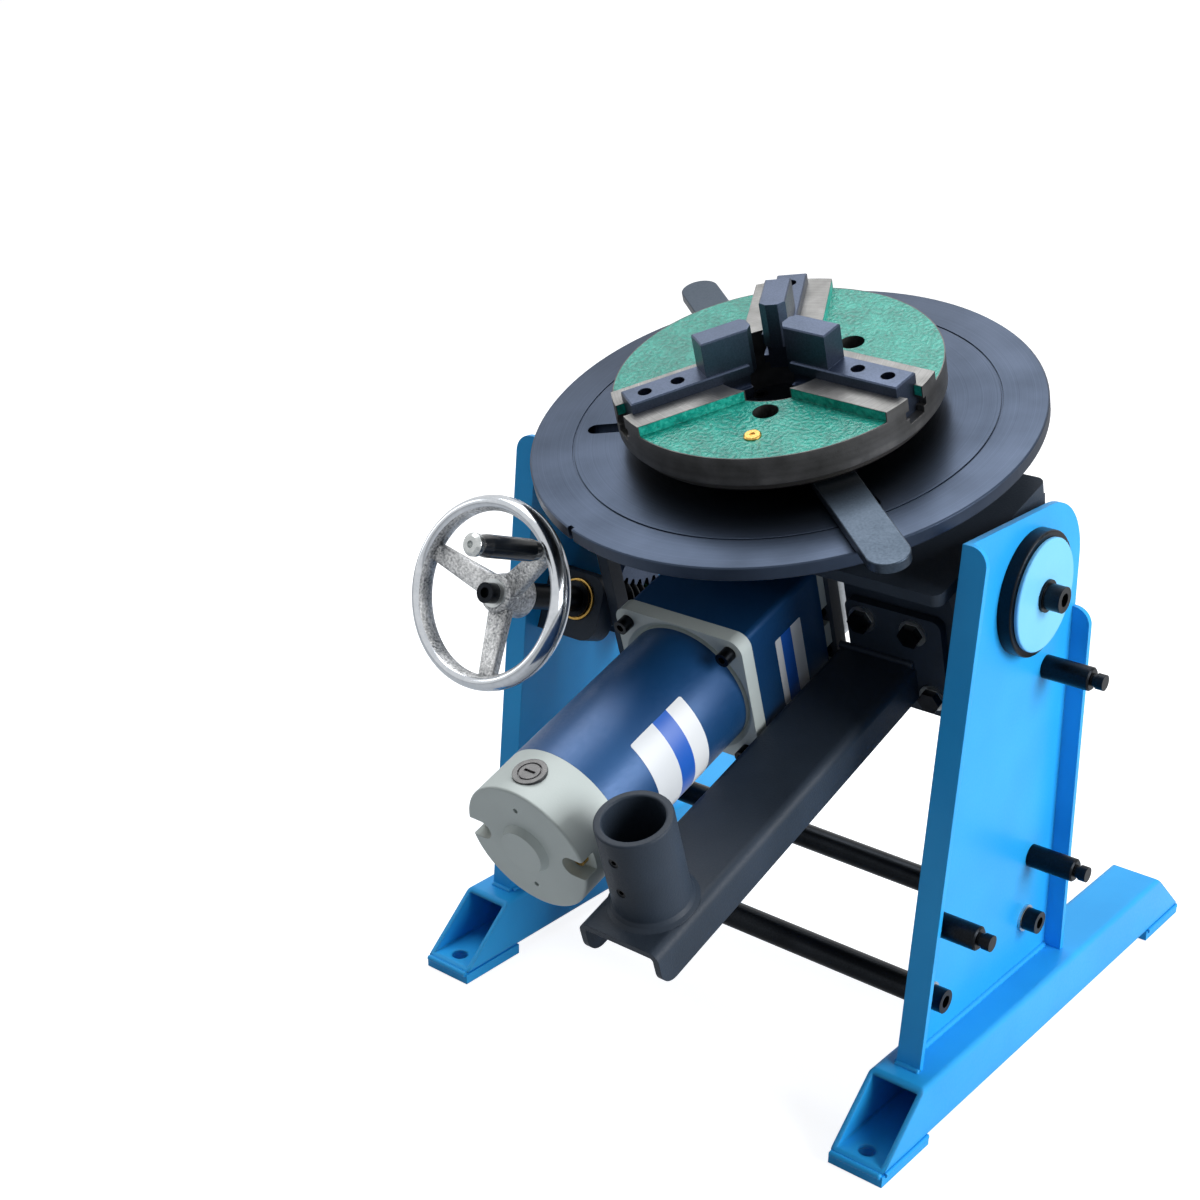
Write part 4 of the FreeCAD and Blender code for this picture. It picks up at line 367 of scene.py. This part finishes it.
# zinc washers under blackened screws: stations just past both faces of the washers
WHEEL_WASHER = (-13.1, -11.3)
ROD_WASHERS = (158.4, 160.2)
ARM_WASHERS = (-42.7, -40.9)
wheel_screw = washer_and_screw("washered_wheel_screw", wheel, "Z", *WHEEL_WASHER)
rod_screw = washer_and_screw("washered_rod_screws", None, "X", *ROD_WASHERS)
arm_screw = washer_and_screw("washered_arm_bolts", cradle, "Y", *ARM_WASHERS)

finish_of = {
    blue_powder: ["foot_pads", "side_plate_right", "side_plate_left"],
    blue_tube: ["foot_beam_right", "foot_beam_left"],
    light_blue_powder: ["cap_discs"],
    black_powder: ["cradle_deck", "cheek_right", "cheek_left", "mount_plate", "arm_hanger",
                   "torch_arm", "guard_bar", "worm_blocks", "bearing_housing"],
    navy_enamel: ["gearbox", "motor_barrel"],
    grey_casting: ["motor_flange", "motor_end_cap", "gearbox_end"],
    black_moulding: ["brush_caps", "grip"],
    blued_table: ["turntable"],
    blued_bar: ["scroll_handles"],
    blued_jaw: ["jaw_1", "jaw_2", "jaw_3", "worm_sector"],
    black_oxide: ["tie_rod_front", "tie_rod_rear", "hanger_posts", "pivot_bushes",
                  "worm_block_screws", "cap_fasteners", "sector_screws", "housing_screws",
                  "motor_screws", "spindle_fasteners", "chuck_fasteners",
                  "worm_shaft", "socket_set_screws"],
    wheel_screw: ["hub_fasteners"],
    rod_screw: ["tie_rod_fasteners"],
    arm_screw: ["arm_fasteners"],
    bright_steel: ["trunnion_pins", "bearing_outer_rings", "bearing_inner_rings",
                   "spindle", "table_gear", "output_pinion"],
    zinc_steel: ["grip_stud"],
    milled_plate: ["adapter_plate"],
    turned_brass: ["thrust_washers", "worm_bushings", "motor_through_bolts", "grease_nipple"],
    grey_iron: ["scroll_plate"],
    hammer_chuck: ["chuck_body"],
    bright_chrome: ["handwheel"],
}
for finish, names in finish_of.items():
    for node in names:
        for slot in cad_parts[node].material_slots:
            slot.material = finish


# printed labels, left bare: coloured bands on satin vinyl
def banded_label(name, low, high, bands):
    """Bands along the motor's axis between two stations; bands are (station, colour) pairs."""
    material, tree, shader = start(name, Roughness=0.35)
    along = add(tree, "SeparateXYZ", {0: place(tree, motor)}).outputs["Z"]
    share = sums(tree, "DIVIDE", sums(tree, "SUBTRACT", along, low * MM), (high - low) * MM)
    stops = [((station - low) / (high - low), colour) for station, colour in bands]
    tree.links.new(steps(tree, share, stops, "CONSTANT"), shader.inputs["Base Color"])
    return material


# ---------------------------------------------------------------- tools for modelled pieces
def begin():
    """Deselects everything before a new piece."""
    bpy.ops.object.select_all(action="DESELECT")


def pick(wanted, kind="VERT"):
    """In edit mode, selects the vertices, edges or faces that the function wanted accepts."""
    bpy.ops.mesh.select_mode(type=kind)
    bpy.ops.mesh.select_all(action="DESELECT")
    mesh = bmesh.from_edit_mesh(bpy.context.object.data)
    for part in {"VERT": mesh.verts, "EDGE": mesh.edges, "FACE": mesh.faces}[kind]:
        part.select_set(wanted(part))
    mesh.select_flush_mode()
    bmesh.update_edit_mesh(bpy.context.object.data)


def modify(kind, **settings):
    """Adds a modifier to the active object and applies it."""
    modifier = bpy.context.object.modifiers.new(kind.lower(), kind)
    for name, value in settings.items():
        setattr(modifier, name, value)
    bpy.ops.object.modifier_apply(modifier=modifier.name)


def settle(name, matrix, body, slot, *materials, angle=35):
    """Finishes the active object: its place goes into its mesh, and it rides on a body."""
    piece = bpy.context.object
    begin()
    piece.select_set(True)
    piece.matrix_world = matrix @ piece.matrix_world
    bpy.ops.object.transform_apply(location=True, rotation=True, scale=True)
    bpy.ops.object.shade_smooth_by_angle(angle=math.radians(angle))
    piece.name = name
    piece.data.name = name
    for material in materials:
        piece.data.materials.append(material)
    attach(piece, body)
    return piece


# ---------------------------------------------------------------- handwheel
RIM_R = 56 * MM         # middle of the rim's section
RIM_HALF_W = 5 * MM
RIM_HALF_D = 8 * MM
GROOVE_EDGE = 0.35 * MM     # land beside the turned groove
GROOVE_OUT = 0.9        # faces farther out than this share of the half width carry it
GROOVE_REACH = 0.25     # from the middle of the rim, as a share of the half depth
GROOVE_FLOOR = 0.985    # radius of its floor, as a share
CAST_IN = 0.66          # faces farther in than this share are left as cast
HUB_AT = -13 * MM       # front face of the hub
HUB_R = 13 * MM
HUB_L = 24 * MM
HUB_TAPER = (2 * MM, -1 * MM)   # change of radius at its rear and front
SPOKE_IN = 8 * MM       # from the axis to its inner end
SPOKE_L = 44 * MM
SPOKE_W = 16 * MM
SPOKE_T = 8 * MM
SPOKE_TIP = 0.7         # width at the rim, as a share
SPOKE_DISH = 12 * MM    # how far its outer end is pushed forwards
SPOKE_LIFT = 1 * MM     # and its inner end
SPOKE_AT = -21.5 * MM
SPOKE_TURN = 43         # direction of the spoke that carries the grip, degrees
GRIP_AT = 51 * MM       # from the axis to the grip's boss
GRIP_BOSS_R = 6 * MM
GRIP_BOSS_L = 12.5 * MM
GRIP_BOSS_MIDDLE = -6.5 * MM
CAST_ROUND = 1.8 * MM   # radius of the cast edges


def polished_rim():
    """Oval rim: polished outside with a turned groove, left as cast on its inner side."""
    begin()
    bpy.ops.mesh.primitive_torus_add(major_radius=RIM_R, minor_radius=RIM_HALF_W,
                                     major_segments=128, minor_segments=28)
    bpy.ops.object.mode_set(mode="EDIT")
    bpy.ops.transform.resize(value=(1, 1, RIM_HALF_D / RIM_HALF_W))
    pick(lambda f: math.hypot(*f.calc_center_median()[:2]) > RIM_R + GROOVE_OUT * RIM_HALF_W
         and 0 < f.calc_center_median().z < GROOVE_REACH * RIM_HALF_D, "FACE")
    bpy.ops.mesh.inset(thickness=GROOVE_EDGE)
    bpy.ops.mesh.extrude_region()
    bpy.ops.transform.resize(value=(GROOVE_FLOOR, GROOVE_FLOOR, 1))
    pick(lambda f: math.hypot(*f.calc_center_median()[:2]) < RIM_R - CAST_IN * RIM_HALF_W, "FACE")
    bpy.ops.object.material_slot_add()
    bpy.ops.object.material_slot_add()
    bpy.context.object.active_material_index = 1
    bpy.ops.object.material_slot_assign()
    bpy.ops.object.mode_set(mode="OBJECT")
    rim = bpy.context.object
    rim.material_slots[0].material = bright_chrome
    rim.material_slots[1].material = sand_cast
    return settle("handwheel_rim", wheel @ Matrix.Translation((0, 0, -RIM_HALF_D)), "handwheel",
                  "chrome")


def cast_spider():
    """Hub, three dished spokes and the boss of the grip, with soft cast edges."""
    begin()
    bpy.ops.mesh.primitive_cone_add(vertices=48, radius1=HUB_R + HUB_TAPER[0],
                                    radius2=HUB_R + HUB_TAPER[1], depth=HUB_L,
                                    location=(0, 0, HUB_AT - HUB_L / 2))
    parts = [bpy.context.object]
    for k in range(3):
        begin()
        bpy.ops.mesh.primitive_cube_add(size=1, location=(SPOKE_IN + SPOKE_L / 2, 0, 0),
                                        scale=(SPOKE_L, SPOKE_W, SPOKE_T))
        bpy.ops.object.transform_apply(location=True, rotation=True, scale=True)
        bpy.ops.object.mode_set(mode="EDIT")
        pick(lambda v: v.co.x > SPOKE_L / 2)
        bpy.ops.transform.resize(value=(1, SPOKE_TIP, 1))
        bpy.ops.transform.translate(value=(0, 0, SPOKE_DISH))
        pick(lambda v: v.co.x < SPOKE_L / 2)
        bpy.ops.transform.translate(value=(0, 0, SPOKE_LIFT))
        bpy.ops.object.mode_set(mode="OBJECT")
        spoke = bpy.context.object
        spoke.matrix_world = (Matrix.Rotation(math.radians(SPOKE_TURN + 120 * k), 4, "Z")
                              @ Matrix.Translation((0, 0, SPOKE_AT)))
        parts.append(spoke)
    turn = math.radians(SPOKE_TURN)
    begin()
    boss_at = (GRIP_AT * math.cos(turn), GRIP_AT * math.sin(turn), GRIP_BOSS_MIDDLE)
    bpy.ops.mesh.primitive_cylinder_add(vertices=32, radius=GRIP_BOSS_R, depth=GRIP_BOSS_L,
                                        location=boss_at)
    parts.append(bpy.context.object)
    begin()
    for part in parts:
        part.select_set(True)
        bpy.context.view_layer.objects.active = part
        bpy.ops.object.modifier_add(type="BEVEL")
        part.modifiers[0].width = CAST_ROUND
        part.modifiers[0].segments = 4
        bpy.ops.object.modifier_apply(modifier=part.modifiers[0].name)
    bpy.context.view_layer.objects.active = parts[0]
    bpy.ops.object.join()
    settle("handwheel_spider", wheel, "handwheel", "cast_aluminium", sand_cast)


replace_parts(polished_rim(), "handwheel")
cast_spider()


# ---------------------------------------------------------------- labels
VINYL = 0.12 * MM       # thickness of the labels
LABEL_WHITE = "#DEE2E6"
LABEL_BLUE = "#1C5CBC"
LABEL_GREY = "#D6DBE0"
# stations along the motor in millimetres: rear edge, both ends of the blue band, front edge
BARREL_BANDS = (170.5, 184.2, 197, 218.2)
BARREL_SPAN = (-36, 48)     # round the barrel, degrees from +x
BARREL_R = 42.12 * MM   # just over the enamel
BARREL_CORNER = 1.4 * MM
GEARBOX_BANDS = (71, 81.5, 92, 97.8)
GEARBOX_SIDE = 44.09 * MM   # middle of the label's thickness
GEARBOX_LABEL_Y = -1.8 * MM
GEARBOX_LABEL_W = 49.6 * MM
GEARBOX_CORNER = 1.2 * MM


def barrel_label():
    """Label round the motor's barrel: a strip of a tube, one vinyl thick."""
    low, blue, pale, high = BARREL_BANDS
    begin()
    bpy.ops.mesh.primitive_cylinder_add(vertices=180, radius=BARREL_R, depth=(high - low) * MM,
                                        end_fill_type="NOTHING",
                                        location=(0, 0, (low + high) / 2 * MM))
    bpy.ops.object.transform_apply(location=True, rotation=True, scale=True)
    bpy.ops.object.mode_set(mode="EDIT")
    first, last = BARREL_SPAN
    pick(lambda f: not first < math.degrees(math.atan2(f.calc_center_median().y,
                                                       f.calc_center_median().x)) < last, "FACE")
    bpy.ops.mesh.delete(type="FACE")
    pick(lambda v: len(v.link_edges) == 2)
    bpy.ops.mesh.bevel(offset=BARREL_CORNER, segments=4, affect="VERTICES")
    bpy.ops.object.mode_set(mode="OBJECT")
    modify("SOLIDIFY", thickness=VINYL, offset=1.0)
    vinyl = banded_label("banded_motor_label", low, high,
                         [(low, LABEL_WHITE), (blue, LABEL_BLUE), (pale, LABEL_GREY)])
    settle("motor_label", motor, "tilt_head", None, vinyl)


def gearbox_label():
    """Label on the right side of the gearbox."""
    low, blue, pale, high = GEARBOX_BANDS
    begin()
    bpy.ops.mesh.primitive_cube_add(size=1, scale=(VINYL, GEARBOX_LABEL_W, (high - low) * MM),
                                    location=(GEARBOX_SIDE, GEARBOX_LABEL_Y,
                                              (low + high) / 2 * MM))
    bpy.ops.object.transform_apply(location=True, rotation=True, scale=True)
    bpy.ops.object.mode_set(mode="EDIT")
    pick(lambda e: abs((e.verts[0].co - e.verts[1].co).x) > VINYL / 2, "EDGE")
    bpy.ops.mesh.bevel(offset=GEARBOX_CORNER, segments=4, affect="EDGES")
    bpy.ops.object.mode_set(mode="OBJECT")
    vinyl = banded_label("banded_gearbox_label", low, high,
                         [(low, LABEL_WHITE), (blue, LABEL_BLUE), (pale, LABEL_WHITE)])
    settle("gearbox_label", motor, "tilt_head", None, vinyl)


barrel_label()
gearbox_label()


# ---------------------------------------------------------------- weld beads
RIPPLE = 1.3 * MM       # from one ripple of a bead to the next
RIPPLE_SWELL = 1.16
BEAD_UNEVEN = 0.12 * MM


def bead(name, first, last, radius, body, slot, material, frame_of=Matrix()):
    """Rippled weld bead from one point to another, points in millimetres."""
    first, last = Vector(first) * MM, Vector(last) * MM
    run = last - first
    begin()
    bpy.ops.mesh.primitive_cylinder_add(vertices=12, radius=radius * MM, depth=run.length)
    bpy.ops.object.mode_set(mode="EDIT")
    pick(lambda e: abs((e.verts[0].co - e.verts[1].co).z) > 0.9 * run.length, "EDGE")
    ripples = max(4, round(run.length / RIPPLE))
    bpy.ops.mesh.subdivide(number_cuts=ripples)
    step = run.length / (ripples + 1)
    pick(lambda v: round((v.co.z + run.length / 2) / step) % 2 == 0)
    bpy.ops.transform.resize(value=(RIPPLE_SWELL, RIPPLE_SWELL, 1))
    bpy.ops.transform.vertex_random(offset=BEAD_UNEVEN, seed=len(name))
    bpy.ops.object.mode_set(mode="OBJECT")
    turn = run.to_track_quat("Z", "Y").to_matrix().to_4x4()
    settle(name, frame_of @ Matrix.Translation((first + last) / 2) @ turn, body, slot, material,
           angle=80)


# places on the stand's right side, in millimetres
WEB_IN = 154.5          # inner face of the side plate
WEB_OUT = WEB_IN + 4
FLANGE_OUT = WEB_IN + 15.9
FLANGE_FRONT = -151.5   # at its foot
PAD_TOP = 7
PAD_WELD_Y = (155, 203)
BEAM_IN = 145
BEAM_OUT = 181.4
BEAM_FRONT = -206.2     # just inside its front edge
beam_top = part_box("foot_beam_right")[1][2] / MM
stand = ("stand", "blue_paint", blue_powder)
# name, then x, y and z of both ends on the right side, then radius
stand_welds = (
    ("web_weld_outer_", (WEB_OUT, -147, beam_top), (WEB_OUT, 30, beam_top), 2.2),
    ("web_weld_inner_", (WEB_IN, -150, beam_top), (WEB_IN, 34, beam_top), 1.8),
    ("flange_weld_", (WEB_IN, FLANGE_FRONT, beam_top), (FLANGE_OUT, FLANGE_FRONT, beam_top), 1.9),
    ("pad_weld_front_", (BEAM_IN + 1, BEAM_FRONT, PAD_TOP),
     (BEAM_OUT - 1, BEAM_FRONT, PAD_TOP), 1.7),
)
for side, word in ((1, "right"), (-1, "left")):
    for name, first, last, radius in stand_welds:
        bead(name + word, (side * first[0], *first[1:]), (side * last[0], *last[1:]), radius,
             *stand)
    for end, end_word in ((-1, "_front"), (1, "_rear")):
        bead("pad_weld_side_" + word + end_word,
             (side * BEAM_OUT, end * PAD_WELD_Y[0], PAD_TOP),
             (side * BEAM_OUT, end * PAD_WELD_Y[1], PAD_TOP), 1.3, *stand)
# the top of the torch arm's channel on its end plate, in the cradle's frame
bead("arm_weld", (49, -41.5, -44.5), (101, -41.5, -44.5), 2.2, "tilt_head", "black_coat",
     black_powder, cradle)


# ---------------------------------------------------------------- floor, backdrop and world
FLOOR_SIZE = 30
FLOOR_DROP = 0.5 * MM   # under the pads
PAPER_TO_EYE = 0.87     # what the floor's paper gives off to the eye and in bright metal
PAPER_IN_METAL = 0.2
FILL = 0.15             # level of the even light from all round


def pale_floor():
    """Plain white studio floor that keeps the object's shadow."""
    begin()
    bpy.ops.mesh.primitive_plane_add(size=FLOOR_SIZE, location=(0, 0, -FLOOR_DROP))
    floor = bpy.context.object
    floor.name = "studio_floor"
    material, tree, shader = start("white_studio_floor", Roughness=0.9,
                                   Base_Color=linear("#B8BBBF"), Emission_Color=(1, 1, 1, 1))
    # the paper shows white to the eye, darker in bright metal, and keeps a pale shadow
    path = add(tree, "LightPath")
    seen = sums(tree, "ADD",
                sums(tree, "MULTIPLY", path.outputs["Is Camera Ray"], PAPER_TO_EYE),
                sums(tree, "MULTIPLY", path.outputs["Is Glossy Ray"], PAPER_IN_METAL))
    tree.links.new(seen, shader.inputs["Emission Strength"])
    floor.data.materials.append(material)


def pale_world():
    """White all round to the eye and in bright metal, and a weak even light from it."""
    world = bpy.data.worlds.new("studio")
    world.use_nodes = True
    tree = world.node_tree
    back = tree.nodes["Background"]
    path = add(tree, "LightPath")
    seen = sums(tree, "MAXIMUM", path.outputs["Is Camera Ray"],
                sums(tree, "MAXIMUM", path.outputs["Is Glossy Ray"],
                     path.outputs["Is Transmission Ray"]))
    strength = sums(tree, "ADD", sums(tree, "MULTIPLY", seen, 1 - FILL), FILL)
    back.inputs["Color"].default_value = (1, 1, 1, 1)
    tree.links.new(strength, back.inputs["Strength"])
    bpy.context.scene.world = world


pale_floor()
pale_world()
